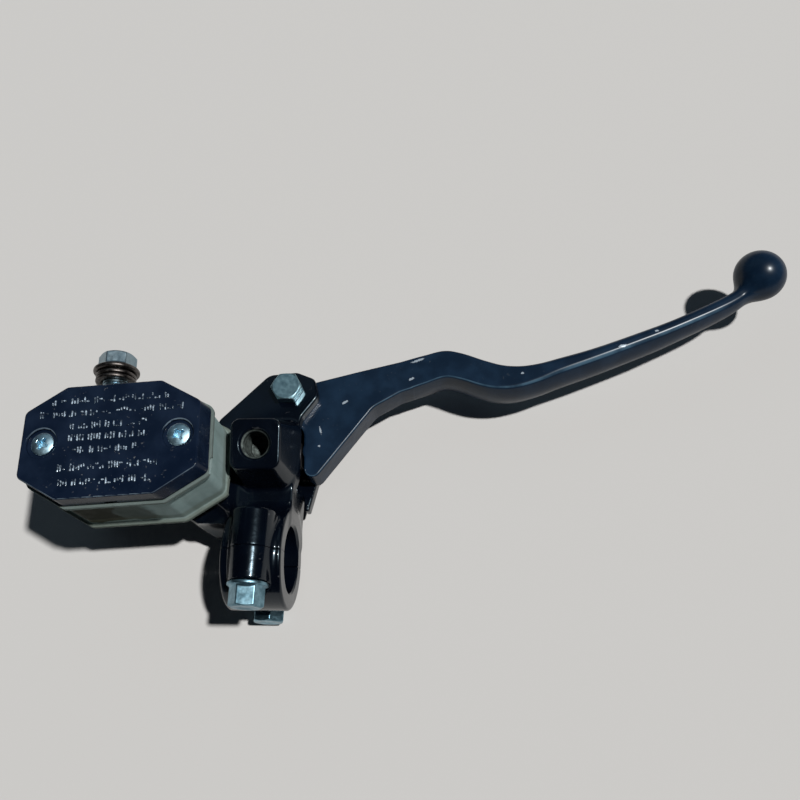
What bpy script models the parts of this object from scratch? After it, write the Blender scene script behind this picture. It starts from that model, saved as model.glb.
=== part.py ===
"""Motorcycle front brake master cylinder with its lever, as separate solids in metres.

World frame: the origin is the centre of the handlebar clamp's bore. +X runs along the handlebar
towards the lever's ball end, +Y points away from the rider, and +Z points up to the reservoir cap.
The barrel and the reservoir are built in a frame of their own, turned by BARREL_YAW about Z. Its
origin is the point of the barrel's axis nearest the lever pivot, and its +X is the barrel's axis.
"""

from math import atan2, cos, pi, radians, sin, tan

import bmesh
import bpy
from mathutils import Vector

MM = 0.001
GAP = 0.3 * MM  # clearance between neighbouring pieces
SIDES = 32  # facets of a large round piece
SMALL_SIDES = 20  # facets of a screw, a hole or a seal
OVERSHOOT = 1 * MM  # how far a cutter runs past the face that it cuts
DEEP = 20 * MM  # length of a cutter that leaves the piece altogether
SHARP_ANGLE = radians(35)
CONE_ANGLE = radians(30)  # of the chamfer on a hexagon's corners

# Handlebar clamp
BAR_RADIUS = 11.1 * MM
CLAMP_RADIUS = 16.8 * MM
CLAMP_HALF_WIDTH = 10 * MM
CLAMP_SPLIT = 0.3 * MM  # each half ends this far from the bore's centre plane
CLAMP_BOLT_Z = 15.5 * MM
BOLT_TUBE_RADIUS = 6.3 * MM
BOLT_TUBE_FRONT = 12.5 * MM
BOLT_TUBE_REAR = 10.5 * MM

# M6 fasteners
M6_RADIUS = 3 * MM
M6_ACROSS_FLATS = 10 * MM
M6_FLANGE_RADIUS = 6.6 * MM
M6_FLANGE = 1.5 * MM
CLAMP_BOLT_HEAD = 6.3 * MM
CLAMP_BOLT_SHANK = 21 * MM
M6_CHAMFER = 0.6 * MM

# Lever pivot and the two ears around the lever
PIVOT = Vector((5.3 * MM, 60.2 * MM, 0))
LEVER_TOP = 1.5 * MM
LEVER_BOTTOM = -9.6 * MM
LEVER_SIDE_GAP = 0.4 * MM
UPPER_EAR_TOP = 5.8 * MM
LOWER_EAR_BOTTOM = -15 * MM
PIVOT_SHOULDER_RADIUS = 4 * MM
PIVOT_HEAD = 3.7 * MM
PIVOT_NUT = 5 * MM
BUSH_WALL = 0.9 * MM

# Barrel
BARREL_YAW = radians(3.9)
BARREL_Z = -4 * MM
LEVER_ARM = 22 * MM  # from the pivot to the barrel's axis
BARREL_RADIUS = 10.5 * MM
MOUTH_RADIUS = 11.4 * MM
MOUTH_X = -6.5 * MM
MOUTH_COLLAR = 8 * MM
BARREL_END_X = -78 * MM
BORE_RADIUS = 6.35 * MM
BORE_END_X = -74 * MM
RECESS_RADIUS = 7.4 * MM
RECESS_X = -13.5 * MM
GROOVE_RADIUS = 8 * MM
GROOVE_X = (-12.4 * MM, -11 * MM)
SUPPLY_PORT_RADIUS = 1.4 * MM
COMPENSATING_PORT_RADIUS = 0.6 * MM
PORTS_DEPTH = 12 * MM

# Lever nose: a round end that pushes the piston
NOSE_RADIUS = 4.5 * MM
NOSE_X = 4.4 * MM  # its leftmost point at rest, along the barrel

# Piston and what is round it
PISTON_RADIUS = BORE_RADIUS - GAP
PISTON_STEM_RADIUS = 4.8 * MM
PISTON_WAIST_RADIUS = 4 * MM
PISTON_STUB_RADIUS = 2.5 * MM
PRIMARY_CUP_X = (-45.9 * MM, -43.5 * MM)
SECONDARY_CUP_X = (-19.4 * MM, -16.9 * MM)
SPRING_SEAT_X = (-49.6 * MM, -46.8 * MM)
SPRING_TURNS = 9
SPRING_WIRE_RADIUS = 0.55 * MM
SPRING_RADIUS = 4.7 * MM

# Brake line port and its bolt, along the barrel frame's Y
PORT_X = -69 * MM
PORT_RADIUS = 8 * MM
PORT_SEAT_Y = 24 * MM
M10_RADIUS = 4.7 * MM
BANJO_FLANGE_Y = 38.4 * MM
BANJO_FLANGE_RADIUS = 8.6 * MM
BANJO_FLANGE = 2.2 * MM
BANJO_HEX = 5.6 * MM
BANJO_ACROSS_FLATS = 12.4 * MM
BANJO_SHANK = 19 * MM
BANJO_DRILLING_RADIUS = 1.8 * MM
BANJO_CROSS_RADIUS = 1.4 * MM
BANJO_CROSS_FROM_FLANGE = 8 * MM
PORT_DRILLING_RADIUS = 1.5 * MM
PORT_THREAD_FLOOR_Y = 10 * MM
WASHER_RADIUS = 7.5 * MM
WASHER_THICKNESS = 1.6 * MM

# Reservoir, cap and what is inside them
RESERVOIR_CENTRE = Vector((-49.2 * MM, -5.9 * MM, 0))  # in the barrel frame
RESERVOIR_BOTTOM = 9.9 * MM
RESERVOIR_TOP = 32.7 * MM
RESERVOIR_WALL = 2.4 * MM
RESERVOIR_RIM = 2 * MM
RESERVOIR_INSET = 0.5 * MM  # the tank's side, inside its foot flange
FOOT_FLANGE = 1.8 * MM
PILLAR_RADIUS = 4.6 * MM
PILLAR_HOLE_DEPTH = 14 * MM
SEAT_SCREW_X = 12 * MM  # either side of the tank's centre
SEAT_SCREW_Y = -11 * MM
SEAT_SCREW_RADIUS = 2.2 * MM
SEAT_SCREW_LENGTH = 9 * MM
CAP_BOTTOM = 33 * MM
CAP_TOP = 40.6 * MM
CAP_HALF = (28.5 * MM, 18.9 * MM)  # half length, half depth
CAP_EDGE_HALF = (15.5 * MM, 10.9 * MM)  # half lengths of the long and the short straight sides
CAP_CORNER_RADIUS = 2.5 * MM
CAP_SKIN = 2.5 * MM
CAP_SCREW_X = 21.9 * MM
CAP_SCREW_RADIUS = 2 * MM
CAP_HEAD_RADIUS = 3.6 * MM
COUNTERBORE_RADIUS = 4.9 * MM
COUNTERBORE_DEPTH = 1.1 * MM
POCKET_HALF = (16.8 * MM, 17.2 * MM)
PLATE_THICKNESS = 1.6 * MM
RUBBER_THICKNESS = 1.2 * MM
SPIGOT_X = -44 * MM
SPIGOT_RADIUS = 5.4 * MM
SPIGOT_BORE = 3.6 * MM
SPIGOT_BOTTOM = 4.6 * MM
SEAL_RADIUS = 6.6 * MM
BAFFLE_HEIGHT = 3 * MM
BELLOWS_FLOOR = 20 * MM
RIM_WIDTH = 2.4 * MM  # of the tank's top, round its mouth
SCREW_CONE = 1.6 * MM
SEAT_TOP = RESERVOIR_BOTTOM - GAP

# Mirror boss
MIRROR_TOP = Vector((-0.5 * MM, 33.8 * MM, 22 * MM))
MIRROR_TILT = radians(13)
MIRROR_HALF = 8.4 * MM
MIRROR_DEPTH = 19 * MM
MIRROR_THREAD_RADIUS = 4.35 * MM
MIRROR_THREAD_DEPTH = 13.5 * MM
MIRROR_CHAMFER_RADIUS = 5.2 * MM

# Lever ball
BALL_CENTRE = Vector((177.7 * MM, 106 * MM, 2 * MM))
BALL_RADIUS = 9.2 * MM

ALONG_X = (0, radians(90), 0)
ALONG_Y = (radians(-90), 0, 0)

for old in list(bpy.data.objects):
    bpy.data.objects.remove(old, do_unlink=True)

COLLECTION = bpy.context.scene.collection

barrel_frame = bpy.data.objects.new("barrel_frame", None)
COLLECTION.objects.link(barrel_frame)
barrel_frame.location = (
    PIVOT.x + LEVER_ARM * sin(BARREL_YAW),
    PIVOT.y - LEVER_ARM * cos(BARREL_YAW),
    0,
)
barrel_frame.rotation_euler = (0, 0, BARREL_YAW)

lever_frame = bpy.data.objects.new("lever_frame", None)
COLLECTION.objects.link(lever_frame)
lever_frame.location = PIVOT


# ---------------------------------------------------------------- materials


def material(name, colour, roughness, metallic):
    made = bpy.data.materials.new(name)
    made.use_nodes = True
    shader = made.node_tree.nodes["Principled BSDF"]
    shader.inputs["Base Color"].default_value = (*colour, 1)
    shader.inputs["Roughness"].default_value = roughness
    shader.inputs["Metallic"].default_value = metallic
    return made


BLACK_PAINT = material("black_paint", (0.012, 0.013, 0.018), 0.18, 0)
LEVER_PAINT = material("lever_paint", (0.035, 0.05, 0.07), 0.35, 0.3)
CAP_PAINT = material("cap_paint", (0.015, 0.02, 0.035), 0.25, 0)
TANK_PLASTIC = material("tank_plastic", (0.42, 0.45, 0.38), 0.4, 0)
ZINC = material("zinc", (0.6, 0.65, 0.68), 0.3, 1)
STEEL = material("steel", (0.55, 0.55, 0.56), 0.3, 1)
BRONZE = material("bronze", (0.55, 0.38, 0.2), 0.4, 1)
WASHER_METAL = material("washer_metal", (0.16, 0.14, 0.13), 0.5, 1)
RUBBER = material("rubber", (0.02, 0.02, 0.02), 0.7, 0)
WHITE_PLASTIC = material("white_plastic", (0.6, 0.6, 0.56), 0.5, 0)


# ---------------------------------------------------------------- shapes


def arc(centre, radius, start, end, steps):
    """Points of an arc about centre, from angle start to angle end."""
    angles = [start + (end - start) * step / steps for step in range(steps + 1)]
    return [(centre[0] + radius * cos(a), centre[1] + radius * sin(a)) for a in angles]


def rounded(corners):
    """Outline in metres from (x, y, corner radius) in millimetres."""
    points = []
    for index, (x, y, radius) in enumerate(corners):
        here = Vector((x, y)) * MM
        if not radius:
            points.append(tuple(here))
            continue
        before = Vector(corners[index - 1][:2]) * MM
        after = Vector(corners[(index + 1) % len(corners)][:2]) * MM
        back = (before - here).normalized()
        onward = (after - here).normalized()
        half = back.angle(onward) / 2
        reach = radius * MM / tan(half)
        middle = here + (back + onward).normalized() * (radius * MM / sin(half))
        first = here + back * reach - middle
        turn = -(pi - 2 * half) if back.cross(onward) > 0 else pi - 2 * half
        start = atan2(first.y, first.x)
        steps = max(2, round(abs(turn) / radians(15)))
        points += arc(middle, radius * MM, start, start + turn, steps)
    return points


def octagon(half, edge_half, radius):
    """Long octagon from its half sizes and the half lengths of its straight sides."""
    corners = [
        (half[0], -edge_half[1]),
        (half[0], edge_half[1]),
        (edge_half[0], half[1]),
        (-edge_half[0], half[1]),
        (-half[0], edge_half[1]),
        (-half[0], -edge_half[1]),
        (-edge_half[0], -half[1]),
        (edge_half[0], -half[1]),
    ]
    return rounded([(x / MM, y / MM, radius / MM) for x, y in corners])


def inset_octagon(amount):
    """The cap's octagon, this much smaller all round."""
    half = [side - amount for side in CAP_HALF]
    shrink = amount * tan(radians(15))
    edge = [side - shrink for side in CAP_EDGE_HALF]
    return octagon(half, edge, CAP_CORNER_RADIUS)


def new_object(name, mesh, paint, parent=None, location=(0, 0, 0), rotation=(0, 0, 0)):
    made = bpy.data.objects.new(name, mesh)
    COLLECTION.objects.link(made)
    made.parent = parent
    made.location = location
    made.rotation_euler = rotation
    if paint:
        mesh.materials.append(paint)
    return made


def finish_mesh(name, shape):
    bmesh.ops.recalc_face_normals(shape, faces=shape.faces)
    mesh = bpy.data.meshes.new(name)
    shape.to_mesh(mesh)
    shape.free()
    mesh.shade_smooth()
    mesh.set_sharp_from_angle(angle=SHARP_ANGLE)
    return mesh


def prism(name, outline, low, high, paint=None, **place):
    """Outline in XY, extruded from z = low to z = high."""
    shape = bmesh.new()
    base = shape.faces.new([shape.verts.new((x, y, low)) for x, y in outline])
    grown = bmesh.ops.extrude_face_region(shape, geom=[base])["geom"]
    top = [item for item in grown if isinstance(item, bmesh.types.BMVert)]
    bmesh.ops.translate(shape, verts=top, vec=(0, 0, high - low))
    return new_object(name, finish_mesh(name, shape), paint, **place)


def skin(shape, rings, closed_ends=True):
    """Joins rings of the same number of points into one tube and caps its two ends."""
    for one, two in zip(rings, rings[1:]):
        for index in range(len(one)):
            after = (index + 1) % len(one)
            shape.faces.new((one[index], one[after], two[after], two[index]))
    if closed_ends:
        shape.faces.new(rings[0])
        shape.faces.new(rings[-1])


def turned(name, profile, paint=None, sides=SMALL_SIDES, ring=False, **place):
    """Profile of (radius, z) turned about Z. A ring's profile closes on itself."""
    shape = bmesh.new()
    turns = [2 * pi * side / sides for side in range(sides)]
    rings = [
        [shape.verts.new((radius * cos(a), radius * sin(a), z)) for a in turns]
        for radius, z in profile
    ]
    if ring:
        rings.append(rings[0])
    skin(shape, rings, closed_ends=not ring)
    return new_object(name, finish_mesh(name, shape), paint, **place)


def rod(name, radius, low, high, paint=None, sides=SMALL_SIDES, **place):
    return turned(name, [(radius, low), (radius, high)], paint, sides, **place)


def washer(name, inner, outer, low, high, paint, sides=SMALL_SIDES, **place):
    profile = [(inner, low), (outer, low), (outer, high), (inner, high)]
    return turned(name, profile, paint, sides, ring=True, **place)


def hexagon(name, across_flats, low, high, chamfer, paint=None, **place):
    """Hexagonal prism whose corners are cut back by a cone at its high end."""
    corner = across_flats / 2 / cos(radians(30))
    outline = arc((0, 0), corner, 0, 2 * pi, 6)[:-1]
    made = prism(name, outline, low, high + OVERSHOOT, paint, **place)
    wide = corner + OVERSHOOT
    drop = (wide - corner + chamfer) * tan(CONE_ANGLE)
    profile = [(wide, low - OVERSHOOT), (wide, high - drop), (corner - chamfer, high)]
    boolean(made, [turned(name + "_chamfer", profile, sides=24, **place)], "INTERSECT")
    return made


def boolean(target, tools, operation):
    """Adds one exact Boolean for each tool, and hides the tool."""
    for tool in tools:
        step = target.modifiers.new(operation.lower(), "BOOLEAN")
        step.operation = operation
        step.object = tool
        tool.hide_render = True
        tool.display_type = "WIRE"


def join(target, tools):
    boolean(target, tools, "UNION")


def cut(target, tools):
    boolean(target, tools, "DIFFERENCE")


def in_barrel(x, y=0.0, z=BARREL_Z):
    return {"parent": barrel_frame, "location": (x, y, z)}


def along_barrel(x=0.0):
    """Placement with local Z along the barrel's axis."""
    return {**in_barrel(x), "rotation": ALONG_X}


# ---------------------------------------------------------------- body casting


def upper_ear_outline():
    return rounded(
        [
            (-9.5, 14, 0), (9.6, 14, 0), (9.8, 40, 0), (10.4, 47.4, 4), (11, 50.1, 3),
            (16.6, 58, 4), (14.8, 64.6, 3), (8, 67.4, 4), (-2.2, 66.4, 5), (-19.2, 48.6, 4),
            (-20, 22, 0),
        ]
    )


def lower_ear_outline():
    return rounded(
        [
            (-9.5, 14, 0), (9.8, 14, 0), (9.9, 20.2, 0), (13.2, 20.2, 1.6), (14.8, 30, 3),
            (15.6, 55, 5), (15.4, 66, 5), (6, 70, 5), (-3.2, 66, 5), (-18.8, 48.3, 4),
            (-19.6, 22.3, 0),
        ]
    )


def web_outline():
    return rounded(
        [
            (-8, 3.5, 0), (-8, 30, 0), (-46, 30, 0), (-38, 22, 4), (-27, 13.5, 6), (-17, 8, 5),
            (-11.5, 5.4, 2),
        ]
    )


def half_ring(name, sign, bolt_tube_end, paint):
    """The clamp's ring and a tube for each bolt. The sign is the side in Y that is kept."""
    outline = arc((0, 0), CLAMP_RADIUS, 0, 2 * pi, 40)[:-1]
    ring = prism(name, outline, -CLAMP_HALF_WIDTH, CLAMP_HALF_WIDTH, paint, rotation=ALONG_X)
    tubes = [
        rod(
            f"{name}_tube_{index}", BOLT_TUBE_RADIUS, -OVERSHOOT, bolt_tube_end, sides=24,
            location=(0, 0, height), rotation=(radians(-90 * sign), 0, 0),
        )
        for index, height in enumerate((CLAMP_BOLT_Z, -CLAMP_BOLT_Z))
    ]
    join(ring, tubes)
    return ring


def split_cutter(name, sign):
    """Removes what reaches over a clamp half's mating plane."""
    reach = 30 * MM
    near, far = sorted((sign * CLAMP_SPLIT, -sign * reach))
    outline = [(-reach, near), (reach, near), (reach, far), (-reach, far)]
    return prism(name, outline, -reach, reach)


def bar_cutter(name):
    half = CLAMP_HALF_WIDTH + OVERSHOOT
    return rod(name, BAR_RADIUS, -half, half, sides=48, rotation=ALONG_X)


def clamp_holes(name, low, high):
    radius = M6_RADIUS + GAP
    return [
        rod(f"{name}_{i}", radius, low, high, location=(0, 0, z), rotation=ALONG_Y)
        for i, z in enumerate((CLAMP_BOLT_Z, -CLAMP_BOLT_Z))
    ]


def body():
    casting = half_ring("master_cylinder_body", 1, BOLT_TUBE_FRONT, BLACK_PAINT)
    neck = rounded([(-10, 8, 0), (10, 8, 0), (10, 30, 0), (-10, 30, 0)])
    boss = rounded(
        [
            (side_x * MIRROR_HALF / MM, side_y * MIRROR_HALF / MM, 3)
            for side_x, side_y in ((1, -1), (1, 1), (-1, 1), (-1, -1))
        ]
    )
    seat = rounded([(-22, -11.5, 5), (22, -11.5, 5), (22, 15.5, 5), (-22, 15.5, 5)])
    seat_place = {"parent": barrel_frame, "location": RESERVOIR_CENTRE}
    length = MOUTH_X - BARREL_END_X
    barrel_profile = [
        (BARREL_RADIUS - 1.5 * MM, 0),
        (BARREL_RADIUS, 1.5 * MM),
        (BARREL_RADIUS, length - MOUTH_COLLAR - 1 * MM),
        (MOUTH_RADIUS, length - MOUTH_COLLAR),
        (MOUTH_RADIUS, length),
    ]
    join(
        casting,
        [
            turned("barrel_tube", barrel_profile, sides=SIDES, **along_barrel(BARREL_END_X)),
            prism("upper_ear", upper_ear_outline(), LOWER_EAR_BOTTOM + OVERSHOOT, UPPER_EAR_TOP),
            prism("lower_ear", lower_ear_outline(), LOWER_EAR_BOTTOM, LEVER_BOTTOM + 1 * MM),
            prism("neck", neck, LOWER_EAR_BOTTOM + GAP, UPPER_EAR_TOP + GAP),
            prism("left_web", web_outline(), -9 * MM, 4 * MM),
            prism("reservoir_seat", seat, 3.5 * MM, SEAT_TOP, **seat_place),
            rod(
                "port_boss", PORT_RADIUS, 0, PORT_SEAT_Y, sides=24,
                **in_barrel(PORT_X), rotation=ALONG_Y,
            ),
            prism(
                "mirror_boss", boss, -MIRROR_DEPTH, 0, location=MIRROR_TOP,
                rotation=(MIRROR_TILT, 0, 0),
            ),
        ],
    )
    cut(casting, body_cutters())
    return casting


def slot_outline():
    """The lever's space between the ears, in the barrel frame."""
    return rounded(
        [(-6.5, -14, 2), (45, -14, 0), (45, 50, 0), (-11, 50, 0), (-11, 15, 5), (-6.5, 8, 3)]
    )


def body_cutters():
    tilt = (MIRROR_TILT, 0, 0)
    thread = [
        (MIRROR_THREAD_RADIUS * 0.5, -MIRROR_THREAD_DEPTH - 2 * MM),
        (MIRROR_THREAD_RADIUS, -MIRROR_THREAD_DEPTH),
        (MIRROR_THREAD_RADIUS, MIRROR_THREAD_RADIUS - MIRROR_CHAMFER_RADIUS),
        (MIRROR_CHAMFER_RADIUS, 0),
        (MIRROR_CHAMFER_RADIUS, OVERSHOOT),
    ]
    bore = [
        (BORE_RADIUS, BORE_END_X),
        (BORE_RADIUS, RECESS_X),
        (RECESS_RADIUS, RECESS_X),
        (RECESS_RADIUS, GROOVE_X[0]),
        (GROOVE_RADIUS, GROOVE_X[0]),
        (GROOVE_RADIUS, GROOVE_X[1]),
        (RECESS_RADIUS, GROOVE_X[1]),
        (RECESS_RADIUS, MOUTH_X + OVERSHOOT),
    ]
    slot_place = {"parent": barrel_frame}
    screw_holes = [
        rod(
            f"seat_screw_hole_{index}", SEAT_SCREW_RADIUS + GAP, 0, DEEP,
            parent=barrel_frame, location=(x, y, SEAT_TOP - SEAT_SCREW_LENGTH),
        )
        for index, (x, y) in enumerate(reservoir_screw_places())
    ]
    return [
        split_cutter("body_split", 1),
        bar_cutter("body_bar_bore"),
        *clamp_holes("body_clamp_hole", -OVERSHOOT, BOLT_TUBE_FRONT - 1.5 * MM),
        turned("bore", bore, sides=SIDES, **along_barrel()),
        prism(
            "lever_slot", slot_outline(), LEVER_BOTTOM - LEVER_SIDE_GAP,
            LEVER_TOP + LEVER_SIDE_GAP, **slot_place,
        ),
        rod("upper_pivot_hole", PIVOT_SHOULDER_RADIUS + GAP, 0, DEEP, location=PIVOT),
        rod("lower_pivot_hole", M6_RADIUS + GAP, -DEEP, 0, location=PIVOT),
        turned("mirror_thread", thread, location=MIRROR_TOP, rotation=tilt),
        rod(
            "port_thread", M10_RADIUS + GAP, PORT_THREAD_FLOOR_Y, PORT_SEAT_Y + OVERSHOOT,
            **in_barrel(PORT_X), rotation=ALONG_Y,
        ),
        rod(
            "port_drilling", PORT_DRILLING_RADIUS, 0, PORT_THREAD_FLOOR_Y + OVERSHOOT, sides=12,
            **in_barrel(PORT_X), rotation=ALONG_Y,
        ),
        rod(
            "spigot_recess", SEAL_RADIUS + GAP, SPIGOT_BOTTOM - GAP, DEEP,
            **in_barrel(SPIGOT_X, z=0),
        ),
        rod(
            "supply_port", SUPPLY_PORT_RADIUS, 0, PORTS_DEPTH, sides=12,
            **in_barrel(SPIGOT_X + 2 * MM),
        ),
        rod(
            "compensating_port", COMPENSATING_PORT_RADIUS, 0, PORTS_DEPTH, sides=8,
            **in_barrel(SPIGOT_X - 2.6 * MM),
        ),
        *screw_holes,
    ]


# ---------------------------------------------------------------- clamp


def clamp():
    holder = half_ring("clamp_holder", -1, BOLT_TUBE_REAR, BLACK_PAINT)
    spot_faces = [
        rod(
            f"spot_face_{index}", M6_FLANGE_RADIUS + GAP, BOLT_TUBE_REAR, CLAMP_RADIUS + OVERSHOOT,
            sides=24, location=(0, 0, height), rotation=(radians(90), 0, 0),
        )
        for index, height in enumerate((CLAMP_BOLT_Z, -CLAMP_BOLT_Z))
    ]
    cut(
        holder,
        [
            *spot_faces,
            split_cutter("holder_split", -1),
            bar_cutter("holder_bar_bore"),
            *clamp_holes("holder_hole", -BOLT_TUBE_REAR - OVERSHOOT, OVERSHOOT),
        ],
    )
    for name, height in (("upper", CLAMP_BOLT_Z), ("lower", -CLAMP_BOLT_Z)):
        place = {
            "location": (0, -BOLT_TUBE_REAR - GAP, height),
            "rotation": (radians(90), 0, 0),
        }
        flange = [
            (M6_RADIUS, -CLAMP_BOLT_SHANK),
            (M6_RADIUS, 0),
            (M6_FLANGE_RADIUS, 0),
            (M6_FLANGE_RADIUS, M6_FLANGE * 0.6),
            (M6_FLANGE_RADIUS - 1.4 * MM, M6_FLANGE),
        ]
        bolt = turned(f"clamp_bolt_{name}", flange, ZINC, sides=24, **place)
        head = hexagon(
            f"clamp_bolt_{name}_head", M6_ACROSS_FLATS, M6_FLANGE / 2,
            M6_FLANGE + CLAMP_BOLT_HEAD, M6_CHAMFER, **place,
        )
        join(bolt, [head])


# ---------------------------------------------------------------- reservoir


def reservoir_screw_places():
    return [(RESERVOIR_CENTRE.x + side * SEAT_SCREW_X, SEAT_SCREW_Y) for side in (-1, 1)]


def on_reservoir(z=0.0, x=0.0, y=0.0):
    return {"parent": barrel_frame, "location": RESERVOIR_CENTRE + Vector((x, y, z))}


def pocket_outline(inset):
    half = (POCKET_HALF[0] - inset, POCKET_HALF[1] - inset)
    edge = (half[0] - 5 * MM, half[1] - 5 * MM)
    return octagon(half, edge, 1.5 * MM)


def reservoir():
    tank = prism(
        "reservoir", inset_octagon(RESERVOIR_INSET), RESERVOIR_BOTTOM, RESERVOIR_TOP, TANK_PLASTIC,
        **on_reservoir(),
    )
    floor = RESERVOIR_BOTTOM + RESERVOIR_WALL
    rim = RESERVOIR_TOP - RESERVOIR_RIM
    spigot = rod("spigot", SPIGOT_RADIUS, SPIGOT_BOTTOM, floor, **in_barrel(SPIGOT_X, z=0))
    foot = prism(
        "tank_foot", inset_octagon(0), RESERVOIR_BOTTOM, RESERVOIR_BOTTOM + FOOT_FLANGE,
        **on_reservoir(),
    )
    cavity = prism(
        "tank_cavity", inset_octagon(RESERVOIR_INSET + RESERVOIR_WALL), floor, rim, **on_reservoir()
    )
    mouth = prism(
        "tank_mouth", pocket_outline(RIM_WIDTH), floor + OVERSHOOT, RESERVOIR_TOP + OVERSHOOT,
        **on_reservoir(),
    )
    pillars = [
        rod(f"pillar_{i}", PILLAR_RADIUS, floor - OVERSHOOT, rim + OVERSHOOT, **on_reservoir(x=x))
        for i, x in enumerate((-CAP_SCREW_X, CAP_SCREW_X))
    ]
    holes = [
        rod(
            f"pillar_hole_{i}", CAP_SCREW_RADIUS + GAP, RESERVOIR_TOP - PILLAR_HOLE_DEPTH,
            RESERVOIR_TOP + OVERSHOOT, **on_reservoir(x=x),
        )
        for i, x in enumerate((-CAP_SCREW_X, CAP_SCREW_X))
    ]
    floor_holes = [
        rod(
            f"floor_hole_{i}", SEAT_SCREW_RADIUS + GAP, 0, floor + OVERSHOOT,
            parent=barrel_frame, location=(x, y, 0),
        )
        for i, (x, y) in enumerate(reservoir_screw_places())
    ]
    join(tank, [foot, spigot])
    cut(tank, [cavity, mouth])
    join(tank, pillars)
    cut(
        tank,
        [
            rod("spigot_bore", SPIGOT_BORE, 0, floor + OVERSHOOT, **in_barrel(SPIGOT_X, z=0)),
            *holes,
            *floor_holes,
        ],
    )
    washer(
        "spigot_seal", SPIGOT_RADIUS + GAP, SEAL_RADIUS, SPIGOT_BOTTOM, SEAT_TOP - 1 * MM, RUBBER,
        **in_barrel(SPIGOT_X, z=0),
    )
    for index, (x, y) in enumerate(reservoir_screw_places()):
        head = [
            (SEAT_SCREW_RADIUS, -SEAT_SCREW_LENGTH), (SEAT_SCREW_RADIUS, 0), (4 * MM, 0),
            (4 * MM, 1.4 * MM), (2.8 * MM, 2.4 * MM),
        ]
        turned(
            f"reservoir_screw_{('left', 'right')[index]}", head, ZINC,
            parent=barrel_frame, location=(x, y, floor + GAP),
        )
    baffle = prism(
        "port_baffle", rounded([(-6, -5, 1), (6, -5, 1), (6, 5, 1), (-6, 5, 1)]), 0, 1 * MM,
        WHITE_PLASTIC, **in_barrel(SPIGOT_X, z=floor + BAFFLE_HEIGHT),
    )
    legs = [
        rod(
            f"baffle_leg_{i}", 1 * MM, GAP - BAFFLE_HEIGHT, 0.5 * MM, sides=10,
            **in_barrel(SPIGOT_X + dx * MM, dy * MM, floor + BAFFLE_HEIGHT),
        )
        for i, (dx, dy) in enumerate(((-4.8, -3.8), (4.8, -3.8), (-4.8, 3.8), (4.8, 3.8)))
    ]
    join(baffle, legs)


def cap():
    lid = prism("reservoir_cap", inset_octagon(0), CAP_BOTTOM, CAP_TOP, CAP_PAINT, **on_reservoir())
    edge = lid.modifiers.new("edge", "BEVEL")
    edge.width = 0.8 * MM
    edge.segments = 2
    edge.limit_method = "ANGLE"
    edge.angle_limit = radians(60)
    under = CAP_TOP - CAP_SKIN
    pocket = prism("cap_pocket", pocket_outline(0), CAP_BOTTOM - OVERSHOOT, under, **on_reservoir())
    seat = CAP_TOP - COUNTERBORE_DEPTH
    screw_cut = [
        (CAP_SCREW_RADIUS + GAP, CAP_BOTTOM - OVERSHOOT),
        (CAP_SCREW_RADIUS + GAP, seat - SCREW_CONE),
        (CAP_HEAD_RADIUS + GAP, seat),
        (COUNTERBORE_RADIUS, seat),
        (COUNTERBORE_RADIUS, CAP_TOP + OVERSHOOT),
    ]
    notch = prism(
        "cap_notch", rounded([(-2, -1.5, 0), (2, -1.5, 0), (2, 1.5, 0), (-2, 1.5, 0)]),
        CAP_BOTTOM - OVERSHOOT, CAP_BOTTOM + 1.6 * MM, **on_reservoir(y=-CAP_HALF[1]),
    )
    cut(lid, [pocket, notch])
    for side, x in (("left", -CAP_SCREW_X), ("right", CAP_SCREW_X)):
        cut(lid, [turned(f"cap_screw_{side}_hole", screw_cut, **on_reservoir(x=x))])
        screw = turned(
            f"cap_screw_{side}",
            [
                (CAP_SCREW_RADIUS, RESERVOIR_TOP - 12 * MM),
                (CAP_SCREW_RADIUS, seat - SCREW_CONE),
                (CAP_HEAD_RADIUS, seat + 0.1 * MM),
                (CAP_HEAD_RADIUS - 0.3 * MM, seat + 0.5 * MM),
            ],
            ZINC,
            **on_reservoir(x=x),
        )
        slots = [
            prism(
                f"cap_screw_{side}_cross_{i}",
                rounded([(-2.1, -0.5, 0), (2.1, -0.5, 0), (2.1, 0.5, 0), (-2.1, 0.5, 0)]),
                seat - 1.1 * MM, seat + OVERSHOOT, **on_reservoir(x=x), rotation=(0, 0, radians(turn)),
            )
            for i, turn in enumerate((35, 125))
        ]
        cut(screw, slots)


def diaphragm():
    """Rubber bellows under the cap, with a plate on top of its rim."""
    under = CAP_TOP - CAP_SKIN - GAP
    prism(
        "diaphragm_plate", pocket_outline(GAP), under - PLATE_THICKNESS, under, WHITE_PLASTIC,
        **on_reservoir(),
    )
    rim_top = under - PLATE_THICKNESS - GAP
    wall = RIM_WIDTH + 2 * GAP
    rubber = prism("diaphragm", pocket_outline(GAP), CAP_BOTTOM, rim_top, RUBBER, **on_reservoir())
    cup = prism("diaphragm_cup", pocket_outline(wall), BELLOWS_FLOOR, rim_top, **on_reservoir())
    hollow = prism(
        "diaphragm_hollow", pocket_outline(wall + RUBBER_THICKNESS),
        BELLOWS_FLOOR + RUBBER_THICKNESS, rim_top + OVERSHOOT, **on_reservoir(),
    )
    join(rubber, [cup])
    cut(rubber, [hollow])


# ---------------------------------------------------------------- brake line port


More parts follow.
